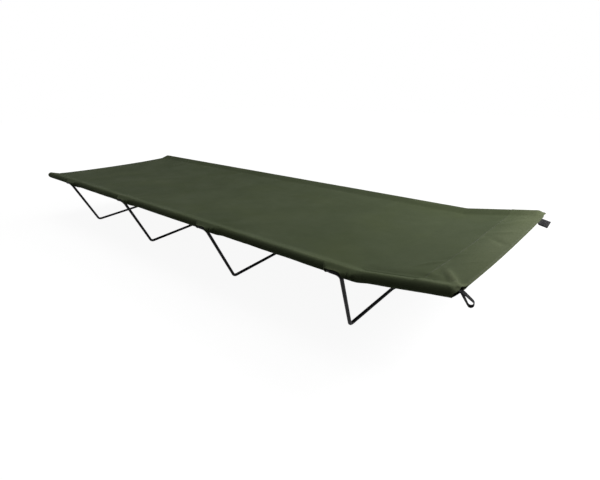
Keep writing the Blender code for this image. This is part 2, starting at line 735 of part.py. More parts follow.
def build_far_loop():
    """Build the far corner's loop: sewn under the sleeve, twisted upright and pressed flat."""
    tangent = SLEEVE_RADIUS / math.hypot(SEAM_REACH, SEAM_RISE - SEAM_THICKNESS / 2)
    wall_slope = math.asin(tangent) + math.atan2(SEAM_RISE - SEAM_THICKNESS / 2, SEAM_REACH)
    wall = SEAM_RISE - SEAM_THICKNESS / 2
    wall -= (SEAM_REACH - FAR_LOOP_INSET) * math.tan(wall_slope)
    sink = (TOUCH_GAP + FAR_LOOP_THICKNESS / 2) / math.cos(wall_slope)
    base = Vector(ring_at(PANEL_HEAD_STATION, [(0.0, wall - sink)])[0])
    hem = Vector((math.cos(BEND_ANGLE), 0.0, math.sin(BEND_ANGLE)))
    route = [hem * along for along in FAR_LOOP_SEWN]
    route += [Vector((along, 0.0, drop)) for along, drop, _ in FAR_LOOP_SPOTS]
    twists = [0.0 for _ in FAR_LOOP_SEWN] + [twist for _, _, twist in FAR_LOOP_SPOTS]
    widthwise = []
    for twist in twists:
        angle = wall_slope + (math.pi / 2 - wall_slope) * twist
        widthwise.append(Vector((0.0, math.cos(angle), -math.sin(angle))))
    mesh = strap_mesh("far_loop", route, widthwise, FAR_LOOP_THICKNESS)
    loop = link_object("far_loop", mesh, "black_webbing")
    place(loop, (base.x, HALF_SPACING - FAR_LOOP_INSET, base.z))


def main():
    """Build the whole cot."""
    clear_scene()
    for side_name in SIDES:
        poles = build_poles(side_name)
        build_spigots(side_name, poles)
        build_plugs(side_name)
        build_sleeve(side_name)
    build_panel()
    build_legs()
    build_near_loop()
    build_far_loop()


main()
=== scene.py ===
"""Camping cot, dressed: cloth cover, hems, stitching, webbing loops and painted steel.

Metres, +Z up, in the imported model's own frame. +X points to the raised head end and +Y to
the far pole. A station is a distance from the foot end tip of the cloth, measured level
along the cot. Across is a world Y, and inboard is a distance from a pole's axis towards
the middle of the bed.
"""

import logging
import math
from dataclasses import dataclass
from enum import Enum

import bpy
import numpy as np
from mathutils import Matrix, Vector, noise


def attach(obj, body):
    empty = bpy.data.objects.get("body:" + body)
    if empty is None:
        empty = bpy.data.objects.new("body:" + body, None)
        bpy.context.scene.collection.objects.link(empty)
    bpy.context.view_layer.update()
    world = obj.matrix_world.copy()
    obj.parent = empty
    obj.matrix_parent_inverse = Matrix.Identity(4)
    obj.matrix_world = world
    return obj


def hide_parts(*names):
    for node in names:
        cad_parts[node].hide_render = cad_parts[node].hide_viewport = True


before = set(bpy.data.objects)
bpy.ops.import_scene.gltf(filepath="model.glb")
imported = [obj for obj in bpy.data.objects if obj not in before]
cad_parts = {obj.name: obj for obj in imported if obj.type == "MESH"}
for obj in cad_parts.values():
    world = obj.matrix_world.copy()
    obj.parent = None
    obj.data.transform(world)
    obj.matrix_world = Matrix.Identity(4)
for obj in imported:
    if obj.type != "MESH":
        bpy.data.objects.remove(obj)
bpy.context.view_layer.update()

LOG = logging.getLogger("camping_cot")
FRAME_BODY = "frame_and_cover"

Point = tuple[float, float, float]
Colour = tuple[float, float, float]
Span = tuple[float, float]
Socket = bpy.types.NodeSocket
Material = bpy.types.Material
Piece = bpy.types.Object


class Side(Enum):
    """The two long sides of the cot, with the sign of their Y."""

    NEAR = -1
    FAR = 1


class Slot(Enum):
    """The record's material slots."""

    TUBE = "black_steel_tube"
    ROD = "black_steel_rod"
    ZINC = "zinc_plated_steel"
    RIVET = "rivet_steel"
    PLASTIC = "black_plastic"
    WEBBING = "black_webbing"
    CLOTH = "olive_cloth"


def smooth_step(value: float, low: float, high: float) -> float:
    """Return a smooth 0 to 1 as value goes from low to high.

    Args:
        value: The number to place.
        low: Where the result is 0.
        high: Where the result is 1.

    Returns:
        The eased share between 0 and 1.
    """
    share = min(max((value - low) / (high - low), 0.0), 1.0)
    return share * share * (3 - 2 * share)


def lerp(first: float, second: float, share: float) -> float:
    """Return the number at a share of the way from first to second."""
    return first + (second - first) * share


def pulse(value: float, rising: Span, falling: Span) -> float:
    """Return 0, rising smoothly to 1 over one span and falling again over another."""
    return min(smooth_step(value, *rising), 1 - smooth_step(value, *falling))


def bell(value: float, middle: float, width: float) -> float:
    """Return 1 at the middle, and less the further from it a value lies."""
    return math.exp(-((value - middle) / width) ** 2)


def drift(first: float, second: float, third: float) -> float:
    """Return a smooth random number, about -1 to 1, that changes slowly with three others."""
    return noise.noise(Vector((first, second, third)))


@dataclass(frozen=True)
class CotSizes:
    """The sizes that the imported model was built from, in metres and radians."""

    pole_spacing: float = 0.610
    pole_height: float = 0.198
    total_length: float = 1.930
    bend_station: float = 1.694
    bend_angle: float = math.radians(8.9)
    bend_radius: float = 0.060
    leg_stations: tuple[float, ...] = (0.236, 0.680, 1.154, 1.625)
    rod_radius: float = 0.00475
    hook_reach: float = 0.0171
    sleeve_radius: float = 0.01225
    seam_reach: float = 0.034
    seam_rise: float = 0.002
    bed_sag: float = 0.005
    bed_foot: float = 0.012
    bed_head: float = 1.911

    @property
    def half_spacing(self) -> float:
        """Return the distance from the middle of the bed to a pole's axis."""
        return self.pole_spacing / 2

    @property
    def half_bed(self) -> float:
        """Return the distance from the middle of the bed to a sleeve's seam."""
        return self.half_spacing - self.seam_reach

    def x_of(self, station: float) -> float:
        """Return the world X of a station."""
        return station - self.total_length / 2

    def bend_start(self) -> float:
        """Return the station where the pole's bend begins."""
        return self.bend_station - self.bend_radius * math.tan(self.bend_angle / 2)

    def slope(self, station: float) -> float:
        """Return the pole's upward angle at a station."""
        reach = (station - self.bend_start()) / self.bend_radius
        return math.asin(min(max(reach, 0.0), math.sin(self.bend_angle)))

    def rise(self, station: float) -> float:
        """Return how far the pole's axis has risen at a station.

        Args:
            station: The distance along the cot.

        Returns:
            The rise over the level part, in metres.
        """
        slope = self.slope(station)
        beyond = station - self.bend_start() - self.bend_radius * math.sin(slope)
        climb = max(beyond, 0.0) * math.tan(self.bend_angle)
        return self.bend_radius * (1 - math.cos(slope)) + climb

    def place(self, station: float, across: float, up: float) -> Point:
        """Return a world point square to the pole at a station.

        Args:
            station: The distance along the cot.
            across: The world Y.
            up: The height over the pole's axis, square to the pole.

        Returns:
            The point in world metres.
        """
        slope = self.slope(station)
        x = self.x_of(station) - up * math.sin(slope)
        z = self.pole_height + self.rise(station) + up * math.cos(slope)
        return (x, across, z)


SIZES = CotSizes()


class NodeBench:
    """A material's or a world's node tree, with short calls that add nodes and join them."""

    def __init__(self, owner: bpy.types.ID, output: str = "ShaderNodeOutputMaterial") -> None:
        """Empty the tree of a new material or world and give it an output.

        Args:
            owner: The material or world.
            output: The kind of its output node.
        """
        owner.use_nodes = True
        self.owner = owner
        self.tree = owner.node_tree
        self.tree.nodes.clear()
        self.output = self.add(output)

    def add(self, kind: str, **settings: object) -> bpy.types.Node:
        """Add a node and set its plain attributes.

        Args:
            kind: Blender's name for the kind of node.
            **settings: The attributes, by name.

        Returns:
            The new node.
        """
        node = self.tree.nodes.new(kind)
        for name, value in settings.items():
            setattr(node, name, value)
        return node

    def feed(self, socket: Socket, value: object) -> None:
        """Join a socket to another one, or set it to a number or colour.

        Args:
            socket: The socket that takes the value.
            value: A socket, a number or a colour.
        """
        if isinstance(value, Socket):
            self.tree.links.new(value, socket)
        elif isinstance(value, tuple) and len(value) == 3 and socket.type == "RGBA":
            socket.default_value = (*value, 1.0)
        else:
            socket.default_value = value

    def math(self, operation: str, *values: object) -> Socket:
        """Add a Math node.

        Args:
            operation: What it does with its values.
            *values: Its values, each a socket or a number.

        Returns:
            Its result.
        """
        node = self.add("ShaderNodeMath", operation=operation)
        for socket, value in zip(node.inputs, values):
            self.feed(socket, value)
        return node.outputs[0]

    def blend(self, first: object, share: float, second: object, other: float) -> Socket:
        """Add up two values, each times its own share."""
        return self.math("ADD", self.math("MULTIPLY", first, share),
                         self.math("MULTIPLY", second, other))

    def mix(self, share: object, first: object, second: object) -> Socket:
        """Mix two colours.

        Args:
            share: How much of the second colour is taken, 0 to 1.
            first: The first colour.
            second: The second colour.

        Returns:
            The mixed colour.
        """
        node = self.add("ShaderNodeMix", data_type="RGBA")
        for index, value in ((0, share), (6, first), (7, second)):
            self.feed(node.inputs[index], value)
        return node.outputs[2]

    def noise(self, place: object, scale: float, detail: float = 2.0) -> Socket:
        """Add a Noise Texture.

        Args:
            place: The coordinates that it reads.
            scale: How often it changes in a metre.
            detail: How many finer layers it has.

        Returns:
            Its grey value.
        """
        node = self.add("ShaderNodeTexNoise")
        for name, value in (("Vector", place), ("Scale", scale), ("Detail", detail)):
            self.feed(node.inputs[name], value)
        return node.outputs["Fac"]

    def streaked(self, place: object, scale: Point, detail: float = 2.0) -> Socket:
        """Add a Noise Texture that changes at a rate of its own along each axis.

        Args:
            place: The coordinates that it reads.
            scale: How often it changes in a metre along each axis.
            detail: How many finer layers it has.

        Returns:
            Its grey value.
        """
        node = self.add("ShaderNodeMapping")
        self.feed(node.inputs["Vector"], place)
        self.feed(node.inputs["Scale"], scale)
        return self.noise(node.outputs[0], 1.0, detail)

    def spread(self, value: object, low: float, high: float,
               first: float = 0.0, last: float = 1.0) -> Socket:
        """Map a value from one range to another, held inside it.

        Args:
            value: The socket to map.
            low: The value that becomes first.
            high: The value that becomes last.
            first: The result at low.
            last: The result at high.

        Returns:
            The mapped socket.
        """
        node = self.add("ShaderNodeMapRange", clamp=True)
        for socket, number in zip(node.inputs, (value, low, high, first, last)):
            self.feed(socket, number)
        return node.outputs[0]

    def object_place(self) -> Socket:
        """Return the object's own coordinates in metres."""
        return self.add("ShaderNodeTexCoord").outputs["Object"]

    def stored(self, name: str) -> bpy.types.Node:
        """Read a value that a mesh stores at its points."""
        return self.add("ShaderNodeAttribute", attribute_name=name)

    def bump(self, height: object, distance: float, strength: float = 1.0,
             under: object = None) -> Socket:
        """Turn a height into a bumped normal.

        Args:
            height: The height socket, 0 to 1.
            distance: How far a height of 1 stands out, in metres.
            strength: The share of the effect.
            under: A normal that is bumped already, if any.

        Returns:
            The normal socket.
        """
        node = self.add("ShaderNodeBump")
        node.inputs["Strength"].default_value = strength
        node.inputs["Distance"].default_value = distance
        self.feed(node.inputs["Height"], height)
        if under is not None:
            self.feed(node.inputs["Normal"], under)
        return node.outputs[0]

    def show_directly(self, seen: Socket, lit: Socket) -> None:
        """End the tree with one shader for what is looked at, and one for what it lights.

        Args:
            seen: The shader for rays that the camera, a gloss or a clear surface looks along.
            lit: The shader for all other rays.
        """
        path = self.add("ShaderNodeLightPath")
        direct = self.math("MAXIMUM", path.outputs["Is Camera Ray"], path.outputs["Is Glossy Ray"])
        direct = self.math("MAXIMUM", direct, path.outputs["Is Transmission Ray"])
        mix = self.add("ShaderNodeMixShader")
        for socket, value in zip(mix.inputs, (direct, lit, seen)):
            self.feed(socket, value)
        self.feed(self.output.inputs["Surface"], mix.outputs[0])

    def principled(self, colour: Socket, roughness: Socket, normal: Socket,
                   others: dict[str, object]) -> None:
        """Finish the material with one Principled shader.

        Args:
            colour: Its base colour.
            roughness: Its roughness.
            normal: Its bumped normal.
            others: Values for more of the shader's inputs, by name.
        """
        shader = self.add("ShaderNodeBsdfPrincipled")
        first = {"Base Color": colour, "Roughness": roughness, "Normal": normal}
        for name, value in {**first, **others}.items():
            self.feed(shader.inputs[name], value)
        self.tree.links.new(shader.outputs[0], self.output.inputs["Surface"])


class Finish:
    """What a piece is made of, and how it looks."""

    def material(self, name: str) -> Material:
        """Return the finish as a new material.

        Args:
            name: The material's name.

        Returns:
            The material, with its nodes laid out.
        """
        bench = NodeBench(bpy.data.materials.new(name))
        self.lay(bench)
        return bench.owner

    def lay(self, bench: NodeBench) -> None:
        """Lay out the nodes, which each finish does in its own way."""
        raise NotImplementedError


@dataclass(frozen=True)
class CoatedCloth(Finish):
    """Dark olive coated polyester with a plain weave, slightly faded and dusty."""

    deep: Colour = (0.044, 0.057, 0.0285)
    pale: Colour = (0.069, 0.084, 0.045)
    groove: Colour = (0.027, 0.034, 0.017)
    # The worn colour and its share below serve rubbed wear and painted highlights alike.
    worn_and_painted_highlight: Colour = (0.150, 0.168, 0.097)
    yellowed: Colour = (0.060, 0.075, 0.026)
    yellowing: float = 0.22
    scuff: float = 0.34
    scuff_grain: float = 0.20
    thread_pitch: float = 0.00055
    weave_depth: float = 0.00009
    crinkle_depth: float = 0.0009
    roughness: Span = (0.74, 0.88)
    specular: float = 0.04
    sheen: float = 0.03
    sheen_tint: Colour = (0.80, 0.86, 0.72)

    def lay(self, bench: NodeBench) -> None:
        """Lay out the weave, its slubs and clouds of colour, and the wear and painted highlights.

        Args:
            bench: The new material's nodes.
        """
        flat = bench.stored("flat_place").outputs["Vector"]
        parts = bench.add("ShaderNodeSeparateXYZ")
        bench.feed(parts.inputs[0], flat)
        turns = math.pi / self.thread_pitch
        warp = bench.math("SINE", bench.math("MULTIPLY", parts.outputs[0], turns))
        weft = bench.math("SINE", bench.math("MULTIPLY", parts.outputs[1], turns))
        weave = bench.spread(bench.math("MULTIPLY", warp, weft), -1.0, 1.0)
        slubs = bench.streaked(flat, (900.0, 60.0, 1.0))
        streaks = bench.streaked(flat, (40.0, 700.0, 1.0))
        clouds = bench.blend(bench.noise(flat, 3.2, 3.0), 0.62, bench.noise(flat, 24.0, 4.0), 0.38)
        threads = bench.blend(slubs, 0.5, streaks, 0.5)
        tone = bench.blend(clouds, 0.72, threads, 0.28)
        colour = bench.mix(bench.spread(tone, 0.26, 0.74), self.deep, self.pale)
        sunned = bench.spread(bench.noise(flat, 5.5), 0.48, 0.70, 0.0, self.yellowing)
        colour = bench.mix(sunned, colour, self.yellowed)
        colour = bench.mix(bench.spread(weave, 0.0, 0.55, 0.86, 1.0), self.groove, colour)
        # The stored share mixes in the worn colour: rubbed wear, and painted highlights on ridges,
        # folds and the head flap.
        grain = bench.spread(bench.noise(flat, 160.0, 3.0), 0.38, 0.70)
        rub_and_painted_highlight = bench.math("ADD", bench.math("MULTIPLY", grain, self.scuff_grain), self.scuff)
        rub_and_painted_highlight = bench.math("MULTIPLY", bench.stored("wear_and_painted_highlight").outputs["Fac"], rub_and_painted_highlight)
        colour = bench.mix(rub_and_painted_highlight, colour, self.worn_and_painted_highlight)
        roughness = bench.spread(bench.noise(flat, 9.0, 3.0), 0.3, 0.7, *self.roughness)
        relief = bench.bump(weave, self.weave_depth, 0.8)
        relief = bench.bump(threads, self.weave_depth, 0.7, relief)
        relief = bench.bump(bench.noise(flat, 70.0, 4.0), self.crinkle_depth, 0.35, relief)
        bench.principled(colour, roughness, relief, {
            "Specular IOR Level": self.specular, "Sheen Weight": self.sheen,
            "Sheen Roughness": 0.35, "Sheen Tint": self.sheen_tint})


@dataclass(frozen=True)
class PaintedSteel(Finish):
    """Black powder coat on steel, with faint orange peel and scuffs to grey primer."""

    base: Colour = (0.0050, 0.0052, 0.0056)
    scuffed: Colour = (0.045, 0.046, 0.047)
    roughness: Span = (0.46, 0.60)
    scuff_from: float = 0.74
    peel_depth: float = 0.00006
    specular: float = 0.07

    def lay(self, bench: NodeBench) -> None:
        """Lay out the paint's clouds, its orange peel and its scuffs.

        Args:
            bench: The new material's nodes.
        """
        place = bench.object_place()
        cloud = bench.noise(place, 26.0, 3.0)
        marks = bench.streaked(place, (60.0, 190.0, 190.0), 6.0)
        scuff = bench.spread(marks, self.scuff_from, self.scuff_from + 0.06)
        lighter = tuple(1.5 * part for part in self.base)
        colour = bench.mix(bench.spread(cloud, 0.3, 0.7), self.base, lighter)
        colour = bench.mix(scuff, colour, self.scuffed)
        roughness = bench.spread(cloud, 0.3, 0.7, *self.roughness)
        roughness = bench.math("ADD", roughness, bench.math("MULTIPLY", scuff, 0.25))
        relief = bench.bump(bench.noise(place, 750.0), self.peel_depth, 0.5)
        bench.principled(colour, roughness, relief, {"Specular IOR Level": self.specular})


@dataclass(frozen=True)
class PlatedSteel(Finish):
    """Dull plated steel with fine drawing lines along the part and a few dark spots."""

    base: Colour = (0.42, 0.42, 0.43)
    dark: Colour = (0.23, 0.225, 0.22)
    roughness: float = 0.34
    line_depth: float = 0.00002

    def lay(self, bench: NodeBench) -> None:
        """Lay out the drawing lines and the spots.

        Args:
            bench: The new material's nodes.
        """
        place = bench.object_place()
        lines = bench.streaked(place, (40.0, 2500.0, 2500.0))
        spots = bench.spread(bench.noise(place, 320.0, 5.0), 0.58, 0.72)
        roughness = bench.spread(lines, 0.2, 0.8, self.roughness - 0.08, self.roughness + 0.14)
        bench.principled(bench.mix(spots, self.base, self.dark), roughness,
                         bench.bump(lines, self.line_depth, 0.6), {"Metallic": 1.0})


@dataclass(frozen=True)
class MouldedPlastic(Finish):
    """Black moulded plastic with a fine spark grain."""

    base: Colour = (0.012, 0.012, 0.0125)
    rubbed: Colour = (0.034, 0.034, 0.035)
    roughness: Span = (0.42, 0.58)
    grain_depth: float = 0.00004
    specular: float = 0.45

    def lay(self, bench: NodeBench) -> None:
        """Lay out the grain and the rubbed clouds.

        Args:
            bench: The new material's nodes.
        """
        place = bench.object_place()
        cloud = bench.noise(place, 120.0, 3.0)
        colour = bench.mix(bench.spread(cloud, 0.45, 0.75), self.base, self.rubbed)
        roughness = bench.spread(cloud, 0.3, 0.7, *self.roughness)
        relief = bench.bump(bench.noise(place, 1900.0), self.grain_depth, 0.6)
        bench.principled(colour, roughness, relief, {"Specular IOR Level": self.specular})


@dataclass(frozen=True)
class WovenTape(Finish):
    """Black polypropylene tape with a ribbed weave across its width."""

    # These defaults are the far loop's lighter copy of the black tape, as painted light beside the
    # near loop's darker copy.
    deep: Colour = (0.021, 0.021, 0.0225)
    pale: Colour = (0.082, 0.082, 0.087)
    gloss: float = 0.12
    rib_pitch: float = 0.0013
    pick_pitch: float = 0.0009
    weave_depth: float = 0.00025
    fibre_depth: float = 0.00006
    roughness: Span = (0.52, 0.74)

    def lay(self, bench: NodeBench) -> None:
        """Lay out the ribs, the picks between them and the fibres.

        Args:
            bench: The new material's nodes.
        """
        flat = bench.stored("flat_place").outputs["Vector"]
        parts = bench.add("ShaderNodeSeparateXYZ")
        bench.feed(parts.inputs[0], flat)
        turns = 2 * math.pi
        ribs = bench.math("SINE", bench.math("MULTIPLY", parts.outputs[1], turns / self.rib_pitch))
        bent = bench.blend(parts.outputs[0], turns / self.pick_pitch, ribs, 1.2)
        picks = bench.math("SINE", bent)
        weave = bench.spread(bench.math("ADD", ribs, bench.math("MULTIPLY", picks, 0.6)), -1.6, 1.6)
        fibre = bench.streaked(flat, (300.0, 4000.0, 1.0), 3.0)
        tone = bench.blend(weave, 0.65, fibre, 0.35)
        colour = bench.mix(bench.spread(tone, 0.25, 0.80), self.deep, self.pale)
        relief = bench.bump(weave, self.weave_depth, 0.8)
        relief = bench.bump(fibre, self.fibre_depth, 0.5, relief)
        roughness = bench.spread(fibre, 0.2, 0.8, *self.roughness)
        bench.principled(colour, roughness, relief, {
            "Specular IOR Level": self.gloss, "Sheen Weight": self.gloss / 2,
            "Sheen Roughness": 0.5})


@dataclass(frozen=True)
class SewingThread(Finish):
    """Dark olive polyester thread with a visible twist."""

    deep: Colour = (0.036, 0.045, 0.025)
    pale: Colour = (0.082, 0.096, 0.058)
    roughness: Span = (0.38, 0.60)
    twist_depth: float = 0.00005
    specular: float = 0.4

    def lay(self, bench: NodeBench) -> None:
        """Lay out the twist.

        Args:
            bench: The new material's nodes.
        """
        twist = bench.streaked(bench.object_place(), (2600.0, 2600.0, 900.0))
        colour = bench.mix(bench.spread(twist, 0.35, 0.65), self.deep, self.pale)
        roughness = bench.spread(twist, 0.3, 0.7, *self.roughness)
        bench.principled(colour, roughness, bench.bump(twist, self.twist_depth, 0.7),
                         {"Specular IOR Level": self.specular})


def make_piece(name: str, points: object, faces: list[tuple[int, ...]],
               material: Material, sharp_degrees: float = 35.0) -> Piece:
    """Make a smooth-shaded mesh object.

    Args:
        name: The piece's name.
        points: Its vertices in world metres.
        faces: Its faces as vertex numbers.
        material: Its finish.
        sharp_degrees: Edges that turn more than this stay sharp.

    Returns:
        The new object, linked to the scene.
    """
    mesh = bpy.data.meshes.new(name)
    mesh.from_pydata([tuple(map(float, point)) for point in points], [], faces)
    mesh.validate()
    mesh.materials.append(material)
    mesh.shade_smooth()
    mesh.set_sharp_from_angle(angle=math.radians(sharp_degrees))
    piece = bpy.data.objects.new(name, mesh)
    bpy.context.scene.collection.objects.link(piece)
    return piece


def store(piece: Piece, name: str, values: object) -> None:
    """Store a number or a vector at each of a mesh's points, for its material to read.

    Args:
        piece: The object whose mesh takes the values.
        name: The name that the material reads them by.
        values: One number or one vector for each point.
    """
    table = np.asarray(values, np.float32)
    kind, field = ("FLOAT", "value") if table.ndim == 1 else ("FLOAT_VECTOR", "vector")
    layer = piece.data.attributes.new(name, kind, "POINT")
    layer.data.foreach_set(field, table.ravel())


@dataclass(frozen=True)
class Crease:
    """A ridge or hollow in the cloth between two (station, across) places."""

    start: tuple[float, float]
    end: tuple[float, float]
    height: float
    width: float
    start_share: float = 0.15
    end_share: float = 0.15

    def height_at(self, station: float, across: float) -> float:
        """Return how far the crease lifts the cloth at a place.

        Args:
            station: The distance along the cot.
            across: The world Y.

        Returns:
            The height in metres, less than 0 in a hollow.
        """
        along_s = self.end[0] - self.start[0]
        along_y = self.end[1] - self.start[1]
        length_sq = along_s * along_s + along_y * along_y
        from_s = station - self.start[0]
        from_y = across - self.start[1]
        share = (from_s * along_s + from_y * along_y) / length_sq
        nearest = min(max(share, 0.0), 1.0)
        off_s = from_s - nearest * along_s
        off_y = from_y - nearest * along_y
        off_sq = off_s * off_s + off_y * off_y
        if off_sq > 12 * self.width * self.width:
            return 0.0
        fade = smooth_step(nearest, 0.0, 0.35) * (1 - self.start_share) + self.start_share
        fade *= smooth_step(1 - nearest, 0.0, 0.35) * (1 - self.end_share) + self.end_share
        return self.height * fade * math.exp(-off_sq / (self.width * self.width))


HEAD_HEM_WIDTH = 0.0895
FOOT_HEM_WIDTH = 0.022

# The sharp fold from the near corner into the bed
CORNER_FOLD = Crease((1.836, -0.196), (1.906, -0.299), 0.0054, 0.0058, 0.15, 0.9)

CREASES = (
    CORNER_FOLD,
    # The softer folds beside it
    Crease((1.660, -0.262), (1.850, -0.262), -0.0028, 0.0170, 0.10, 0.6),
    Crease((1.802, -0.232), (1.868, -0.262), 0.0022, 0.0055),
    Crease((1.800, -0.176), (1.852, -0.238), -0.0010, 0.0080),
    Crease((1.786, -0.182), (1.822, -0.150), 0.0023, 0.0045),
    Crease((1.806, -0.128), (1.846, -0.084), 0.0018, 0.0055),
    Crease((1.774, -0.205), (1.800, -0.166), 0.0019, 0.0050),
    Crease((1.846, -0.160), (1.903, -0.110), 0.0008, 0.0090),
    # The shallow facets at the far corner
    Crease((1.838, 0.060), (1.905, -0.010), -0.0023, 0.0080),
    Crease((1.830, 0.085), (1.900, 0.120), 0.0020, 0.0100),
    Crease((1.815, 0.150), (1.895, 0.235), 0.0024, 0.0120),
    Crease((1.850, 0.240), (1.905, 0.292), 0.0018, 0.0070, 0.15, 0.8),
    Crease((1.800, 0.200), (1.850, 0.262), -0.0010, 0.0090),
    # Slack left by folding the cot away
    Crease((1.020, -0.110), (1.120, 0.060), 0.0007, 0.0200),
    Crease((0.420, -0.060), (0.560, 0.090), 0.0006, 0.0220),
    Crease((1.430, 0.050), (1.560, -0.120), 0.0008, 0.0240),
    # Pulls at the foot corners
    Crease((0.016, -0.262), (0.110, -0.170), 0.0012, 0.0080, 0.7, 0.1),
    Crease((0.016, 0.262), (0.110, 0.170), 0.0012, 0.0080, 0.7, 0.1),
)


@dataclass(frozen=True)
class ClothFolds:
    """The bed's unevenness: slow swells, fans of pull at the legs, puckers and creases."""

    swell: float = 0.0006
    ruffle: float = 0.00028
    fan_height: float = 0.00045
    fan_rays: float = 6.0
    fan_past_leg: float = 0.018
    fan_rise: Span = (0.012, 0.05)
    fan_fall: Span = (0.06, 0.19)
    pucker_height: float = 0.00022
    pucker_pitch: float = 0.017
    pucker_reach: float = 0.011
    stitch_groove: float = 0.00035
    stitch_inset: float = 0.0035
    ridge_height: float = 0.0008
    ridge_swell: float = 0.0007
    dip_depth: float = 0.0006
    hem_pucker: float = 0.0008
    hem_step: float = 0.0005
    hem_reach: float = 0.05

    def at(self, station: float, across: float) -> float:
        """Return the height of the cloth's folds, puckers and creases at a place.

        Args:
            station: The distance along the cot.
            across: The world Y.

        Returns:
            The height over the smooth cloth, in metres.
        """
        height = self.swell * drift(station * 2.1, across * 4.6, 1.7)
        height += self.ruffle * drift(station * 8.0, across * 9.5, 4.2)
        to_seam = SIZES.half_bed - abs(across)
        for number, leg in enumerate(SIZES.leg_stations):
            off = station - leg - self.fan_past_leg
            away = math.hypot(off, max(to_seam, 0.0) + 0.012)
            if away < self.fan_fall[1]:
                fan = math.cos(math.atan2(off, to_seam + 0.02) * self.fan_rays + 0.7 * number)
                height += self.fan_height * fan * pulse(away, self.fan_rise, self.fan_fall)
        phase = 5.0 * drift(station * 6.0, math.copysign(2.0, across), 0.3)
        pucker = math.sin(station * 2 * math.pi / self.pucker_pitch + phase)
        height += self.pucker_height * pucker * bell(to_seam, 0.0, self.pucker_reach)
        height -= self.stitch_groove * bell(to_seam, self.stitch_inset, 0.0022)
        height += self.hem_ridge(station, across)
        for crease in CREASES:
            height += crease.height_at(station, across)
        return height

    def hem_ridge(self, station: float, across: float) -> float:
        """Return the ridge and puckers along the head hem's inner row of stitches.

        Args:
            station: The distance along the cot.
            across: The world Y.

        Returns:
            The height that they add, in metres.
        """
        off = station - (SIZES.bed_head - HEAD_HEM_WIDTH)
        if abs(off) > self.hem_reach:
            return 0.0
        wander = drift(across * 21.0, 0.4, 2.2)
        ripple = drift(across * 55.0, 1.9, 5.5)
        swollen = self.ridge_height + self.ridge_swell * max(wander, 0.0)
        ridge = swollen * bell(off, 0.003, 0.0042)
        dip = self.dip_depth * bell(off, -0.0022, 0.0030)
        pucker = self.hem_pucker * (wander + 0.5 * ripple) * bell(off, 0.0, 0.014)
        step = self.hem_step * pulse(off, (-0.003, 0.002), (0.03, self.hem_reach))
        return ridge - dip + pucker + step


@dataclass(frozen=True)
class ClothWearAndPaintedHighlight:
    """Where the cloth's coating is rubbed and faded, and where painted highlights make it paler,
    each as a share from 0 to 1.
    """

    edges: float = 0.7
    hems: float = 0.8
    foot_hem: float = 0.3
    hem_reach: float = 0.004
    # The pale line along each sleeve's top: rubbed wear over the pole, and a painted highlight
    # along its ridge.
    ridge: float = 0.20
    ridge_reach: float = 0.005
    # Pale patches just inboard of the sleeve's top: rubbed wear and painted highlight.
    patches: float = 1.1
    patch_inset: float = 0.006
    patch_reach: float = 0.008
    # The head flap painted paler towards its end and towards the far side: a painted highlight
    # where the light falls on it.
    flap_painted_highlight: float = 0.85
    flap_span: Span = (1.800, 1.900)
    flap_sides: Span = (-0.22, 0.02)
    flap_shares: Span = (0.35, 1.0)
    head_start: float = 1.75
    # Pale dashes on the head hem's inner stitch line, rubbed wear and painted highlight on its
    # puckers, and a painted highlight along the corner fold's ridge.
    sewn_line: float = 0.8
    corner_fold_painted_highlight: float = 0.8

    def column(self, station: float, across: np.ndarray, edge: np.ndarray) -> np.ndarray:
        """Return how rubbed one column of the cloth is, and how far painted highlights make it
        paler.

        Args:
            station: The column's distance along the cot.
            across: The world Y of its points.
            edge: How close each point is to a hemmed edge, 0 to 1.

        Returns:
            The wear and painted highlight at each of its points.
        """
        hem = bell(station, SIZES.bed_head, self.hem_reach)
        hem += self.foot_hem * bell(station, SIZES.bed_foot, self.hem_reach)
        worn_and_painted_highlight = np.maximum(edge * self.edges, self.hems * hem)
        outboard = np.abs(across) - SIZES.half_spacing
        patch = max(drift(station * 7.0, 5.1, 0.6), 0.0)
        # Sleeve-top line and patches: rubbed wear and painted highlight.
        worn_and_painted_highlight += self.ridge * np.exp(-(outboard / self.ridge_reach) ** 2)
        inset = (outboard + self.patch_inset) / self.patch_reach
        worn_and_painted_highlight += self.patches * patch * np.exp(-inset ** 2)
        # Painted highlight over the head flap.
        flap_painted_highlight = self.flap_painted_highlight * smooth_step(station, *self.flap_span)
        worn_and_painted_highlight += flap_painted_highlight * np.interp(across, self.flap_sides, self.flap_shares)
        if station > self.head_start:
            seam = bell(station, SIZES.bed_head - HEAD_HEM_WIDTH + 0.003, self.hem_reach)
            for j, place in enumerate(across):
                # Stitch-line dashes: rub and painted highlight. Corner fold: painted highlight.
                rub_and_painted_highlight = self.sewn_line * seam * max(drift(place * 24.0, 3.3, 0.8), 0.0)
                fold = CORNER_FOLD.height_at(station, place) / CORNER_FOLD.height
                worn_and_painted_highlight[j] += rub_and_painted_highlight + self.corner_fold_painted_highlight * fold
        return np.clip(worn_and_painted_highlight, 0.0, 1.0)


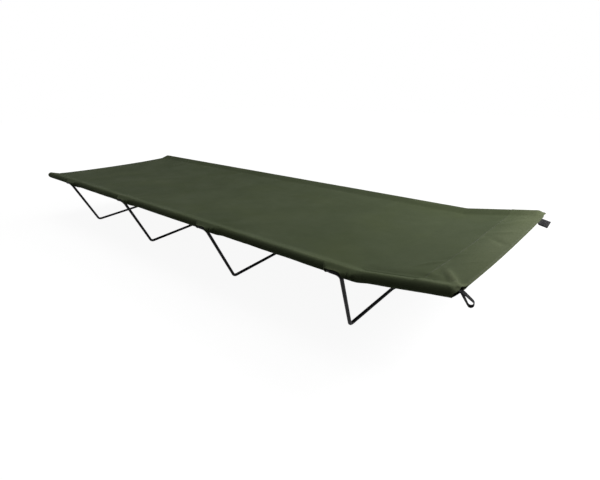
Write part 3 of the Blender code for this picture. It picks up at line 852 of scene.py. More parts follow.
@dataclass
class ClothCover:
    """The one-piece cloth: the bed, the two sleeves over the poles and their cut-outs.

    The cloth is a grid. Its columns are stations along the cot, and its rows run from the
    near seam's hidden edge under the near pole, up over it, across the bed and round the
    far pole in the same way.
    """

    # Thickness and the seam's underlap
    cloth: float = 0.0007
    hemmed: float = 0.0015
    seam_drop: float = 0.0009
    allowance: float = 0.009
    # Cut-outs, from each leg's station
    cutout_start: float = -0.0072
    cutout_end: float = 0.054
    cutout_rise: float = 0.0014
    cutout_fall: float = 0.028
    cutout_inboard: float = 0.019
    cutout_ease: float = 0.016
    least_flap: float = 0.0004
    level_edge: float = math.radians(151.0)
    cutout_edges: Span = (math.radians(132.0), math.radians(115.0))
    edge_lead: float = 0.001
    edge_turn: Span = (0.0, 0.022)
    cutout_hem: Span = (0.002, 0.007)
    # How the crank pushes the sleeve out, and the slack past it
    lift_rise: Span = (-0.020, -0.003)
    lift_fall: Span = (0.040, 0.092)
    lift_clearance: float = 0.0008
    slack_rise: Span = (0.036, 0.052)
    slack_fall: Span = (0.058, 0.100)
    slack_angles: Span = (math.radians(110), math.radians(200))
    droop: float = 0.0030
    droop_angle: float = math.radians(248)
    droop_spread: float = math.radians(38)
    wander: float = 0.0007
    ripple: float = 0.0003
    wall_gap: float = 0.0002
    fold_angles: Span = (math.radians(80), math.radians(125))
    # The grid's rows
    wall_steps: int = 44
    lower_steps: int = 16
    upper_steps: int = 14
    bed_steps: int = 70
    hidden_rows: int = 3
    first_cut: int = 4
    edge_rows: int = 3
    over_shares: tuple[float, ...] = (0.25, 0.5, 0.75, 1.0)
    # The grid's columns
    end_spacing: float = 0.0012
    head_spacing: float = 0.0042
    leg_spacing: float = 0.0040
    bed_spacing: float = 0.0125
    head_start: float = 1.755
    fine_before: float = 0.034
    least_column: float = 0.4
    # The closed foot end and the open mouth
    end_fold: float = 0.0095
    end_width: float = 0.60
    end_height: float = 0.10
    held_station: float = 1.8895
    mouth_top: float = 1.9095
    mouth_low: float = 1.8935
    mouth_slump: float = 0.45
    far_slump: float = 0.80
    slump_above: float = 0.0036
    mouth_hem: Span = (0.010, 0.016)
    folds: ClothFolds = ClothFolds()
    wear_and_painted_highlight: ClothWearAndPaintedHighlight = ClothWearAndPaintedHighlight()

    @property
    def last_cut(self) -> int:
        """Return the row of a cut-out's upper edge."""
        return self.first_cut + self.lower_steps

    @property
    def side_rows_count(self) -> int:
        """Return how many rows one side has, up to the seam."""
        return self.last_cut + self.upper_steps + len(self.over_shares) + 1

    @staticmethod
    def nearest_leg(station: float) -> float:
        """Return the station of the nearest leg."""
        return min(SIZES.leg_stations, key=lambda leg: abs(station - leg))

    def stations(self) -> list[float]:
        """Return the grid's stations, close together where the cloth bends most."""
        marks = {0.0, SIZES.bed_foot, SIZES.bed_head, self.held_station}
        for leg in SIZES.leg_stations:
            marks.add(round(leg + self.cutout_start, 5))
            marks.add(round(leg + self.cutout_start + self.cutout_rise, 5))
            marks.add(round(leg + self.cutout_end, 5))
        spots = sorted(marks)
        stations = []
        for first, last in zip(spots, spots[1:]):
            here = first
            while here < last - 1e-6:
                stations.append(here)
                here += self.spacing(here)
                if last - here < self.least_column * self.spacing(here):
                    here = last
        stations.append(spots[-1])
        return stations

    def spacing(self, station: float) -> float:
        """Return how far apart the grid's columns stand.

        Args:
            station: The distance along the cot.

        Returns:
            The distance to the next column.
        """
        if station < self.end_fold:
            return self.end_spacing
        if station > self.head_start:
            return self.head_spacing
        leg = self.nearest_leg(station)
        beside_leg = leg - self.fine_before < station < leg + self.lift_fall[1]
        return self.leg_spacing if beside_leg else self.bed_spacing

    def lift(self, station: float) -> float:
        """Return how far a leg's crank pushes the sleeve out, 0 to 1."""
        return pulse(station - self.nearest_leg(station), self.lift_rise, self.lift_fall)

    def slack(self, station: float) -> float:
        """Return how far the sleeve hangs loose past a cut-out, 0 to 1."""
        return pulse(station - self.nearest_leg(station), self.slack_rise, self.slack_fall)

    def in_cutout(self, station: float) -> bool:
        """Return whether a station lies inside one of the cut-outs."""
        return self.cutout_start < station - self.nearest_leg(station) < self.cutout_end

    def from_cutout(self, station: float) -> float:
        """Return the distance to the nearer end of the nearest leg's cut-out."""
        here = station - self.nearest_leg(station)
        return min(abs(here - self.cutout_start), abs(here - self.cutout_end))

    def open_share(self, station: float) -> float:
        """Return how far up its full height a cut-out reaches, or 1 away from them.

        The near end is nearly square. The far end sweeps down, as a scoop does.

        Args:
            station: The distance along the cot.

        Returns:
            The share, 0 to 1.
        """
        leg = self.nearest_leg(station)
        inside = station - leg - self.cutout_start
        left = leg + self.cutout_end - station
        if min(inside, left) >= -1e-9:
            first = min(inside / self.cutout_rise, 1.0)
            last = min(max(left, 0.0) / self.cutout_fall, 1.0)
            return min(first, math.sqrt(1 - (1 - last) ** 2))
        return smooth_step(-min(inside, left), 0.0, self.cutout_ease)

    def edge_angle(self, station: float) -> float:
        """Return the way that the full-height edge of a cut-out faces.

        Args:
            station: The distance along the cot.

        Returns:
            The angle, 90 degrees up and 180 degrees outboard.
        """
        here = station - self.nearest_leg(station)
        if self.cutout_start - self.edge_lead < here < self.cutout_end:
            return lerp(*self.cutout_edges, smooth_step(here, *self.edge_turn))
        return self.level_edge

    def wall_radius(self, station: float, angle: float, side: Side) -> float:
        """Return the sleeve's radius, which wanders a little where the cloth hangs slack.

        Args:
            station: The distance along the cot.
            angle: The way the wall faces, 90 degrees up and 180 degrees outboard.
            side: The side of the cot.

        Returns:
            The radius of the middle of the cloth.
        """
        base = SIZES.sleeve_radius - self.cloth / 2 - self.wall_gap
        slack = smooth_step(angle, *self.slack_angles)
        seed = 3.1 * side.value
        wander = self.wander * drift(station * 11.0, angle * 0.9, seed)
        ripple = self.ripple * drift(station * 38.0, angle * 1.6, seed + 7.0)
        low = bell(angle, self.droop_angle, self.droop_spread)
        return base + slack * (wander + ripple) + self.droop * self.slack(station) * low

    def wall(self, station: float, angle: float, side: Side) -> tuple[float, float]:
        """Return the sleeve's (inboard, up) point that faces one way.

        Args:
            station: The distance along the cot.
            angle: The way the wall faces, 90 degrees up and 180 degrees outboard.
            side: The side of the cot.

        Returns:
            The point, on the pole's round or on the crank's, whichever stands out more.
        """
        radius = self.wall_radius(station, angle, side)
        facing = (math.cos(angle), math.sin(angle))
        lift = self.lift(station)
        rod = SIZES.rod_radius + self.lift_clearance + self.cloth / 2
        rod = lerp(radius, rod, lift)
        reach = -SIZES.hook_reach * lift
        if reach * facing[0] + rod > radius:
            return (reach + rod * facing[0], rod * facing[1])
        return (radius * facing[0], radius * facing[1])

    def section(self, station: float, side: Side) -> tuple[list[Point], list[float]]:
        """Return the sleeve's section from its lower seam round the pole to its top.

        Args:
            station: The distance along the cot.
            side: The side of the cot.

        Returns:
            The (inboard, up, angle faced) points, and the length of cloth up to each.
        """
        radius = SIZES.sleeve_radius - self.cloth / 2
        top, reach = SIZES.seam_rise, SIZES.seam_reach
        low = top - self.seam_drop
        first = 2 * math.pi - math.acos(radius / math.hypot(reach, low)) + math.atan2(low, reach)
        last = math.acos(radius / math.hypot(reach, top)) + math.atan2(top, reach)
        path = [(reach, low, first)]
        for k in range(self.wall_steps + 1):
            angle = lerp(first, last, k / self.wall_steps)
            path.append((*self.wall(station, angle, side), angle))
        runs = [0.0]
        for before, after in zip(path, path[1:]):
            runs.append(runs[-1] + math.dist(before[:2], after[:2]))
        return path, runs

    def side_rows(self, station: float, side: Side) -> list[Point]:
        """Return one side's rows at a station, from the hidden edge to the seam.

        Args:
            station: The distance along the cot.
            side: The side of the cot.

        Returns:
            One (inboard, up, share of the bed's folds) for each row.
        """
        path, runs = self.section(station, side)
        top, reach = SIZES.seam_rise, SIZES.seam_reach
        low = top - self.seam_drop
        angles = [point[2] for point in path]
        start = runs[1] * (reach - self.cutout_inboard) / (reach - path[1][0])
        full = float(np.interp(-self.edge_angle(station), [-angle for angle in angles], runs))
        edge = lerp(start + self.least_flap, full, self.open_share(station))
        marks = [start / 2, start]
        for low_end, high_end, steps in ((start, edge, self.lower_steps),
                                         (edge, runs[-1], self.upper_steps)):
            marks += [lerp(low_end, high_end, k / steps) for k in range(1, steps + 1)]
        rows = [(reach + self.allowance * share, low, 0.0) for share in (1.0, 0.5, 0.0)]
        for mark in marks:
            inboard, up, angle = (float(np.interp(mark, runs, column)) for column in zip(*path))
            rows.append((inboard, up, 1 - smooth_step(angle, *self.fold_angles)))
        over = rows[-1]
        for share in self.over_shares:
            rows.append((lerp(over[0], reach, share), lerp(over[1], top, share), 1.0))
        return rows

    def shaped(self, station: float, inboard: float, up: float,
               side: Side) -> tuple[float, float, float]:
        """Return a sleeve point after the closed foot end and the open mouth.

        Args:
            station: The distance along the cot.
            inboard: The point's distance from the pole's axis towards the bed.
            up: Its height over the axis.
            side: The side of the cot.

        Returns:
            Its (station, inboard, up).
        """
        if station < self.end_fold:
            share = station / self.end_fold
            growth = math.sqrt(1 - (1 - share) ** 2)
            narrow, height = lerp(self.end_width, 1.0, growth), lerp(self.end_height, 1.0, growth)
            return (station, inboard * narrow, up * height)
        if station > self.held_station:
            share = (station - self.held_station) / (SIZES.bed_head - self.held_station)
            depth = (SIZES.sleeve_radius - up) / (2 * SIZES.sleeve_radius)
            depth = min(max(depth, 0.0), 1.0)
            nearness = min(max(inboard / SIZES.seam_reach, 0.0), 1.0)
            end = lerp(lerp(self.mouth_top, self.mouth_low, depth), SIZES.bed_head, nearness)
            most = self.far_slump if side is Side.FAR else self.mouth_slump
            slump = most * smooth_step(share, 0.0, 1.0) if up > self.slump_above else 0.0
            return (lerp(self.held_station, end, share), inboard, up * (1 - slump))
        return (station, inboard, up)

    def bed_height(self, station: float, across: float) -> float:
        """Return the middle of the bed's cloth over the pole's axis."""
        sag = SIZES.bed_sag * (1 - (across / SIZES.half_bed) ** 2)
        return SIZES.seam_rise - sag + self.folds.at(station, across)

    def bed_point(self, station: float, across: float, above: float = 0.0) -> Vector:
        """Return a world point on the bed's cloth, or so far above its middle."""
        return Vector(SIZES.place(station, across, self.bed_height(station, across) + above))

    def build_grid(self) -> tuple[np.ndarray, np.ndarray, list[float]]:
        """Lay the cloth's grid out.

        Returns:
            The cloth's middle points, its flat places and its stations.
        """
        stations = self.stations()
        half = SIZES.half_bed
        bed = [-half + 2 * half * k / self.bed_steps for k in range(1, self.bed_steps)]
        columns = []
        for station in stations:
            near, far = ([self.sleeve_point(station, row, side)
                          for row in self.side_rows(station, side)] for side in Side)
            level = [SIZES.place(station, across, self.bed_height(station, across))
                     for across in bed]
            columns.append(near + level + far[::-1])
        grid = np.array(columns)
        steps = np.linalg.norm(np.diff(grid, axis=1), axis=2)
        girth = np.concatenate([np.zeros((len(stations), 1)), np.cumsum(steps, axis=1)], axis=1)
        girth -= girth[:, grid.shape[1] // 2][:, None]
        flat = np.zeros_like(grid)
        flat[:, :, 0] = np.array(stations)[:, None]
        flat[:, :, 1] = girth
        return grid, flat, stations

    def sleeve_point(self, station: float, row: Point, side: Side) -> Point:
        """Return the world point of one of a sleeve's rows.

        Args:
            station: The distance along the cot.
            row: Its (inboard, up, share of the bed's folds).
            side: The side of the cot.

        Returns:
            The point in world metres.
        """
        here, inboard, up = self.shaped(station, row[0], row[1], side)
        across = side.value * (SIZES.half_spacing - inboard)
        if row[2] > 0.0:
            up += row[2] * self.folds.at(here, across)
        return SIZES.place(here, across, up)

    def present(self, rows: int, stations: list[float]) -> np.ndarray:
        """Return which of the grid's cells hold cloth.

        Args:
            rows: The number of rows in the grid.
            stations: Its stations.

        Returns:
            True for each cell with cloth in it.
        """
        cells = np.ones((len(stations) - 1, rows - 1), bool)
        side, under = self.side_rows_count, self.hidden_rows - 1
        for i, (here, there) in enumerate(zip(stations, stations[1:])):
            middle = (here + there) / 2
            if middle < SIZES.bed_foot:
                cells[i, side - 1:rows - side] = False
                cells[i, :under] = False
                cells[i, rows - 1 - under:] = False
            if self.in_cutout(middle):
                cells[i, self.first_cut:self.last_cut] = False
                cells[i, rows - 1 - self.last_cut:rows - 1 - self.first_cut] = False
        return cells

    def edge_share(self, rows: int, stations: list[float]) -> np.ndarray:
        """Return how close each point is to a hemmed edge of a cut-out or mouth.

        Args:
            rows: The number of rows in the grid.
            stations: Its stations.

        Returns:
            The share at each point, 0 to 1.
        """
        share = np.zeros((len(stations), rows))
        for i, station in enumerate(stations):
            ends = 1 - smooth_step(self.from_cutout(station), *self.cutout_hem)
            mouth = smooth_step(station - self.held_station, *self.mouth_hem)
            inside = self.in_cutout(station)
            for j in range(self.side_rows_count):
                edge = ends if self.first_cut <= j <= self.last_cut and not inside else 0.0
                if inside:
                    edge = max(edge, 1 - abs(j - self.last_cut) / self.edge_rows)
                edge = max(edge, mouth if j >= self.hidden_rows else 0.0)
                share[i, j] = share[i, rows - 1 - j] = edge
        return share

    def build(self, finish: CoatedCloth) -> Piece:
        """Build and dress the cover.

        Args:
            finish: The cloth's finish.

        Returns:
            The cover, riding on the frame.
        """
        grid, flat, stations = self.build_grid()
        count, rows = grid.shape[:2]
        normal = np.cross(np.gradient(grid, axis=0), np.gradient(grid, axis=1))
        normal /= np.maximum(np.linalg.norm(normal, axis=2, keepdims=True), 1e-12)
        edge = self.edge_share(rows, stations)
        thick = (self.cloth + (self.hemmed - self.cloth) * edge)[:, :, None]
        upper = (grid + normal * thick / 2).reshape(-1, 3)
        lower = (grid - normal * thick / 2).reshape(-1, 3)
        cells = self.present(rows, stations)
        faces = self.skin(cells, rows, count * rows)
        used = sorted({index for face in faces for index in face})
        renumber = {index: new for new, index in enumerate(used)}
        faces = [tuple(renumber[index] for index in face) for face in faces]
        points = np.concatenate([upper, lower])[used]
        cover = make_piece("cloth_cover", points, faces,
                           finish.material("olive_coated_cloth"), 60.0)
        store(cover, "flat_place", np.concatenate([flat.reshape(-1, 3)] * 2)[used])
        # Each point's share of rubbed wear and painted highlight, read by the cloth's material.
        wear_and_painted_highlight = np.array([self.wear_and_painted_highlight.column(station, grid[i, :, 1], edge[i])
                         for i, station in enumerate(stations)])
        store(cover, "wear_and_painted_highlight", np.concatenate([wear_and_painted_highlight.ravel()] * 2)[used])
        self.declare(cover, grid, cells)
        return cover

    def skin(self, cells: np.ndarray, rows: int, layer: int) -> list[tuple[int, ...]]:
        """Return the faces of the cloth's two sides and of its cut edges.

        Args:
            cells: Which grid cells hold cloth.
            rows: The number of rows in the grid.
            layer: The number of points on one side of the cloth.

        Returns:
            The faces as vertex numbers.
        """
        faces = []
        high, wide = cells.shape
        for i in range(high):
            for j in range(wide):
                if not cells[i, j]:
                    continue
                a, b = i * rows + j, (i + 1) * rows + j
                c, d = b + 1, a + 1
                faces.append((a, b, c, d))
                faces.append((d + layer, c + layer, b + layer, a + layer))
                if i == 0 or not cells[i - 1, j]:
                    faces.append((d, d + layer, a + layer, a))
                if i == high - 1 or not cells[i + 1, j]:
                    faces.append((b, b + layer, c + layer, c))
                if j == 0 or not cells[i, j - 1]:
                    faces.append((a, a + layer, b + layer, b))
                if j == wide - 1 or not cells[i, j + 1]:
                    faces.append((c, c + layer, d + layer, d))
        return faces

    def declare(self, cover: Piece, grid: np.ndarray, cells: np.ndarray) -> None:
        """Say what the cover rides on, stands for and was cut from.

        Args:
            cover: The built cover.
            grid: The cloth's middle points.
            cells: Which grid cells hold cloth.
        """
        edges = np.linalg.norm(np.diff(grid, axis=1), axis=2)
        lengths = np.linalg.norm(np.diff(grid, axis=0), axis=2)
        area = (edges[:-1] * lengths[:, :-1])[cells].sum()
        width = float(np.median(edges.sum(axis=1)))
        length = float(lengths[:, grid.shape[1] // 2].sum()) + SIZES.bed_foot
        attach(cover, FRAME_BODY)
        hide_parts("cover_panel", "near_sleeve", "far_sleeve")
        area = min(float(area), width * length)
        LOG.info("cloth_cover: flat %.3f by %.3f m, %.3f square metres", width, length, area)


@dataclass
class FoldedHem:
    """A turned-under hem across one end of the bed, sewn flat against the cloth."""

    name: str
    node: str
    edge_station: float
    width: float
    inward: float
    cover: ClothCover
    cloth: float = 0.0007
    steps: int = 54
    end_gap: float = 0.0004
    fold_allowance: float = 0.003
    seat: float = 0.00008
    lip: float = 0.0007
    wear_reach: float = 0.004
    shares: tuple[float, ...] = (0.0, 0.02, 0.05, 0.1, 0.2, 0.35, 0.5, 0.65, 0.8, 0.9, 0.96, 1.0)

    def build(self, material: Material) -> Piece:
        """Build and dress the hem.

        Args:
            material: The cloth's finish.

        Returns:
            The hem, riding on the frame.
        """
        half = SIZES.half_bed - self.end_gap
        profile = self.profile()
        points, flats, wear_and_painted_highlight = [], [], []
        for k in range(self.steps + 1):
            across = -half + 2 * half * k / self.steps
            for station, drop, run in profile:
                base = self.cover.bed_height(station, across)
                points.append(SIZES.place(station, across, base - drop))
                flats.append((run, across, 0.0))
                wear_and_painted_highlight.append(bell(station, self.edge_station, self.wear_reach))
        count = len(profile)
        faces = []
        for k in range(self.steps):
            for i in range(count):
                j = (i + 1) % count
                a, b = k * count + i, k * count + j
                faces.append((a, b, b + count, a + count))
        last = self.steps * count
        faces.append(tuple(range(count - 1, -1, -1)))
        faces.append(tuple(range(last, last + count)))
        if self.inward > 0:
            faces = [tuple(reversed(face)) for face in faces]
        hem = make_piece(self.name, points, faces, material, 50.0)
        store(hem, "flat_place", flats)
        store(hem, "wear_and_painted_highlight", wear_and_painted_highlight)
        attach(hem, FRAME_BODY)
        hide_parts(self.node)
        return hem

    def profile(self) -> list[tuple[float, float, float]]:
        """Return the hem's section as (station, drop, run) round its outline."""
        reach = [self.width * share for share in self.shares]
        top = self.cloth / 2 + self.seat
        low = top + self.cloth
        lip = self.edge_station - self.inward * self.lip
        outer = [(self.edge_station + self.inward * along, low, along) for along in reach]
        inner = [(self.edge_station + self.inward * along, top, along) for along in reach]
        turn = [(lip + self.inward * along, drop, 0.0) for along, drop in (
            (0.0, low * 0.55), (0.0, -self.cloth * 0.2), (0.0005, -self.cloth * 0.7),
            (0.0016, -self.cloth * 0.6), (0.0008, 0.0))]
        return outer[::-1] + turn + inner


@dataclass
class Stitching:
    """Rows of lockstitch, each stitch a short lens of thread lying on the cloth."""

    cover: ClothCover
    pitch: float = 0.0042
    length: float = 0.0032
    thread: float = 0.00026
    sides: int = 5
    shoulder: float = 0.30
    flatness: float = 1.3
    bedding: float = 0.35
    seam_inset: float = 0.0035
    end_gap: float = 0.002
    corner_gap: float = 0.006

    def row(self, spots: list[Vector], ups: list[Vector]) -> tuple[list, list]:
        """Return the points and faces of one row of stitches.

        Args:
            spots: Places along the row, closely spaced.
            ups: The way out of the cloth at each place.

        Returns:
            The row's points and faces.
        """
        points, faces = [], []
        runs = [0.0]
        for before, after in zip(spots, spots[1:]):
            runs.append(runs[-1] + (after - before).length)
        here, index = self.pitch / 2, 0
        while here < runs[-1] - self.pitch / 2:
            while runs[index + 1] < here:
                index += 1
            share = (here - runs[index]) / (runs[index + 1] - runs[index])
            middle = spots[index].lerp(spots[index + 1], share)
            along = (spots[index + 1] - spots[index]).normalized()
            self.stitch(points, faces, middle, along, ups[index])
            here += self.pitch
        return points, faces

    def stitch(self, points: list, faces: list, middle: Vector, along: Vector,
               up: Vector) -> None:
        """Add one stitch to a row.

        Args:
            points: The row's points.
            faces: The row's faces.
            middle: The stitch's middle.
            along: The row's direction there.
            up: The way out of the cloth there.
        """
        across = along.cross(up).normalized()
        first = len(points)
        points.append(middle - along * self.length / 2 - up * self.thread)
        for end in (-self.shoulder, self.shoulder):
            centre = middle + along * (end * self.length)
            for k in range(self.sides):
                angle = 2 * math.pi * k / self.sides
                out = across * math.cos(angle) * self.flatness + up * math.sin(angle)
                points.append(centre + out * self.thread)
        points.append(middle + along * self.length / 2 - up * self.thread)
        last = first + 2 * self.sides + 1
        for k in range(self.sides):
            n = (k + 1) % self.sides
            a, b = first + 1 + k, first + 1 + n
            faces.append((first, b, a))
            faces.append((a, b, b + self.sides, a + self.sides))
            faces.append((last, a + self.sides, b + self.sides))

    def bed_row(self, start: Span, end: Span, steps: int) -> tuple[list, list]:
        """Return a straight row on the bed.

        Args:
            start: The (station, across) that it starts at.
            end: The (station, across) that it ends at.
            steps: How many short lengths follow the cloth's height.

        Returns:
            The row's points and faces.
        """
        spots, ups = [], []
        above = self.cover.cloth / 2 + self.thread * self.bedding
        for k in range(steps + 1):
            station, across = (lerp(start[axis], end[axis], k / steps) for axis in (0, 1))
            spots.append(self.cover.bed_point(station, across, above))
            slope = SIZES.slope(station)
            ups.append(Vector((-math.sin(slope), 0.0, math.cos(slope))))
        return self.row(spots, ups)

    def build(self, finish: SewingThread) -> list[Piece]:
        """Build every row: both sleeve seams and the two hems.

        Args:
            finish: The thread's finish.

        Returns:
            The rows, riding on the frame.
        """
        material = finish.material("olive_thread")
        seam = SIZES.half_bed - self.seam_inset
        wide = seam - self.corner_gap
        first, last = SIZES.bed_foot + self.end_gap, SIZES.bed_head - self.end_gap
        inner = SIZES.bed_head - HEAD_HEM_WIDTH + self.end_gap
        rows = {
            "near_seam_stitches": ((first, -seam), (last, -seam), 420),
            "far_seam_stitches": ((first, seam), (last, seam), 420),
            "head_hem_stitches": ((inner, -wide), (inner, wide), 160),
            "head_edge_stitches": ((last - 0.003, -wide), (last - 0.003, wide), 160),
            "foot_hem_stitches": ((first + 0.017, -wide), (first + 0.017, wide), 130),
        }
        pieces = []
        for name, (start, end, steps) in rows.items():
            points, faces = self.bed_row(start, end, steps)
            piece = make_piece(name, points, faces, material, 70.0)
            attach(piece, FRAME_BODY)
            pieces.append(piece)
        return pieces


@dataclass
class WebbingLoop:
    """A loop of webbing: a strap on a route, with its width turned as it goes."""

    name: str
    node: str
    width: float = 0.020
    tape: float = 0.0014
    across_steps: int = 10
    edge_power: int = 8
    edge_thickness: float = 0.12
    back_offset: float = 0.05
    step: float = 0.0022
    easings: int = 2

    def strap(self, route: list[Vector], widthwise: list[Vector],
              material: Material, thickness: float) -> Piece:
        """Build a strap along a route.

        Args:
            route: The strap's middle line.
            widthwise: The way its width lies at each point.
            material: The tape's finish.
            thickness: The strap's thickness.

        Returns:
            The strap, riding on the frame in place of its solid.
        """
        count = len(route)
        points, flats = [], []
        run = 0.0
        half_ring = self.across_steps + 1
        for i, spot in enumerate(route):
            run += (spot - route[i - 1]).length if i else 0.0
            along = (route[min(i + 1, count - 1)] - route[max(i - 1, 0)]).normalized()
            across = (widthwise[i] - along * widthwise[i].dot(along)).normalized()
            out = along.cross(across)
            for face in (1, -1):
                steps = range(half_ring) if face == 1 else reversed(range(half_ring))
                for k in steps:
                    share = 2 * k / self.across_steps - 1
                    thin = math.sqrt(max(1 - abs(share) ** self.edge_power, self.edge_thickness))
                    aside = share * self.width / 2
                    points.append(spot + across * aside + out * (face * thickness / 2 * thin))
                    flats.append((run, aside + self.back_offset * (face < 0), 0.0))
        ring = 2 * half_ring
        faces = []
        for i in range(count - 1):
            for k in range(ring):
                n = (k + 1) % ring
                a, b = i * ring + k, i * ring + n
                faces.append((a, a + ring, b + ring, b))
        faces.append(tuple(range(ring)))
        faces.append(tuple(range((count - 1) * ring + ring - 1, (count - 1) * ring - 1, -1)))
        strap = make_piece(self.name, points, faces, material, 50.0)
        store(strap, "flat_place", flats)
        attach(strap, FRAME_BODY)
        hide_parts(self.node)
        return strap

    def refined(self, corners: list[Vector],
                ways: list[Vector]) -> tuple[list[Vector], list[Vector]]:
        """Split a route's long straight runs and ease its kinks.

        Args:
            corners: The route's chosen points.
            ways: The way that the tape's width lies at each one.

        Returns:
            The finer route and its widthwise directions.
        """
        route, widthwise = [], []
        for i in range(len(corners) - 1):
            gap = (corners[i + 1] - corners[i]).length
            steps = max(1, round(gap / self.step))
            for k in range(steps):
                route.append(corners[i].lerp(corners[i + 1], k / steps))
                widthwise.append(ways[i].lerp(ways[i + 1], k / steps).normalized())
        route.append(corners[-1])
        widthwise.append(ways[-1])
        eased = route[:]
        for _ in range(self.easings):
            eased = [eased[0]] + [(a + b * 2 + c) / 4 for a, b, c in
                                  zip(eased, eased[1:], eased[2:])] + [eased[-1]]
        return eased, widthwise


@dataclass
class NearLoop(WebbingLoop):
    """The near head corner's loop, which hangs open in a drop."""

    sewn: float = 0.011
    length: float = 0.0320
    tip_radius: float = 0.0057
    droop: float = math.radians(48.0)
    turn: float = math.radians(17.0)
    tilt: float = math.radians(11.0)
    roll: float = math.radians(10.0)
    inset: float = 0.0112
    station: float = 1.9074
    above: float = -0.0016
    layer: float = 0.00095
    tip_steps: int = 16

    def build(self, finish: WovenTape) -> Piece:
        """Build the open loop where its solid hangs.

        Args:
            finish: The tape's finish.

        Returns:
            The loop, riding on the frame.
        """
        heading = Vector((math.cos(self.turn), math.sin(self.turn), 0.0))
        level = Vector((-heading.y, heading.x, 0.0))
        hole = level * math.cos(self.tilt) - Vector((0.0, 0.0, math.sin(self.tilt)))
        fall = heading * math.cos(self.droop) + hole.cross(heading) * math.sin(self.droop)
        above_fall = -fall.cross(hole)
        sewn_way = Vector((1.0, 0.0, 0.0))
        sewn_width = Vector((0.0, math.cos(self.roll), -math.sin(self.roll)))
        above_sewn = sewn_way.cross(sewn_width)
        half_bend = (above_fall + above_sewn).normalized()
        centre = self.length - self.tip_radius
        first = math.pi / 2 + math.asin((self.tip_radius - self.layer) / centre)
        tip = []
        for k in range(self.tip_steps + 1):
            angle = first - 2 * first * k / self.tip_steps
            along = centre + self.tip_radius * math.cos(angle)
            tip.append(fall * along + above_fall * (self.tip_radius * math.sin(angle)))
        back = sewn_way * -self.sewn
        bend = half_bend * (self.layer / half_bend.dot(above_sewn))
        corners = [back + above_sewn * self.layer, bend, *tip, -bend,
                   back - above_sewn * self.layer]
        mean = (hole + sewn_width).normalized()
        ways = [sewn_width, mean, *[hole] * len(tip), mean, sewn_width]
        route, widthwise = self.refined(corners, ways)
        strap = self.strap(route, widthwise, finish.material("black_tape_near_painted_shade"), self.tape)
        neck = SIZES.place(self.station, self.inset - SIZES.half_spacing, self.above)
        strap.data.transform(Matrix.Translation(neck))
        return strap


@dataclass
class FarLoop(WebbingLoop):
    """The far head corner's loop, pressed flat and twisted on its edge below the sleeve."""

    spots: tuple[tuple[float, float, float, float], ...] = (
        (-0.0300, 0.0, -0.0048, 0.0), (-0.0190, 0.0, -0.0030, 0.0),
        (-0.0165, 0.0005, -0.0052, 0.15), (-0.0140, 0.0015, -0.0088, 0.45),
        (-0.0115, 0.0028, -0.0113, 0.80), (-0.0090, 0.0035, -0.0126, 1.0),
        (0.0020, 0.0035, -0.0149, 1.0), (0.0140, 0.0035, -0.0176, 1.0),
    )
    sewn_slope: float = math.radians(22.0)
    hung_slope: float = math.radians(-45.0)
    root: Point = (0.9468, 0.2815, 0.2269)

    def build(self, finish: WovenTape) -> Piece:
        """Build the flat loop where its solid hangs.

        Args:
            finish: The tape's finish.

        Returns:
            The loop, riding on the frame.
        """
        corners, ways = [], []
        for along, outboard, drop, twist in self.spots:
            corners.append(Vector((along, outboard, drop)))
            angle = lerp(self.sewn_slope, self.hung_slope, twist)
            ways.append(Vector((0.0, math.cos(angle), -math.sin(angle))))
        route, widthwise = self.refined(corners, ways)
        strap = self.strap(route, widthwise, finish.material("black_tape_far_painted_light"), 2 * self.tape)
        strap.data.transform(Matrix.Translation(self.root))
        return strap


SOLID_SLOTS = {"_rod": Slot.ROD, "_spigot": Slot.ZINC, "_rivet": Slot.RIVET,
               "_cap": Slot.PLASTIC, "_plug": Slot.PLASTIC}


@dataclass
class SteelWork:
    """The carried-over solids: poles, legs, spigots, rivets, caps and plugs."""

    tube: PaintedSteel = PaintedSteel()
    rod: PaintedSteel = PaintedSteel(roughness=(0.42, 0.55), scuff_from=0.72)
    zinc: PlatedSteel = PlatedSteel()
    rivet: PlatedSteel = PlatedSteel(base=(0.48, 0.48, 0.49), roughness=0.28)
    plastic: MouldedPlastic = MouldedPlastic()

    def dress(self) -> None:
        """Give every solid that stays in view the finish of its slot."""
        made = {
            Slot.TUBE: self.tube.material("black_tube_paint"),
            Slot.ROD: self.rod.material("black_rod_paint"),
            Slot.ZINC: self.zinc.material("dull_zinc"),
            Slot.RIVET: self.rivet.material("bare_rivet_steel"),
            Slot.PLASTIC: self.plastic.material("black_moulded_plastic"),
        }
        for name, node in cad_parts.items():
            slot = self.slot_of(name)
            if slot is None:
                continue
            node.data.materials.clear()
            node.data.materials.append(made[slot])
            LOG.info("%s: %s", name, slot.value)

    @staticmethod
    def slot_of(name: str) -> Slot | None:
        """Return the slot that a node takes its finish from, or None for cloth."""
        if "_pole_" in name:
            return Slot.TUBE
        return next((slot for ending, slot in SOLID_SLOTS.items() if name.endswith(ending)), None)


@dataclass(frozen=True)
class SoftLamp:
    """A square soft lamp that the camera doesn't see."""

    name: str
    place: Point
    aim: Point
    size: float
    power: float

    def hang(self) -> None:
        """Hang the lamp in the scene, facing its aim."""
        data = bpy.data.lights.new(self.name, "AREA")
        data.shape = "SQUARE"
        data.size = self.size
        data.energy = self.power
        lamp = bpy.data.objects.new(self.name, data)
        facing = Vector(self.aim) - Vector(self.place)
        lamp.location = self.place
        lamp.rotation_euler = facing.to_track_quat("-Z", "Y").to_euler()
        lamp.visible_camera = False
        bpy.context.scene.collection.objects.link(lamp)


LAMPS = (
    SoftLamp("head_softbox", (1.45, 0.75, 1.05), (0.6, 0.0, 0.2), 0.7, 24.0),
    SoftLamp("overhead_softbox", (-0.2, 0.2, 2.6), (-0.1, 0.0, 0.2), 1.8, 20.0),
    SoftLamp("foot_softbox", (-2.5, -0.6, 1.0), (0.0, -0.1, 0.2), 0.9, 1.5),
)


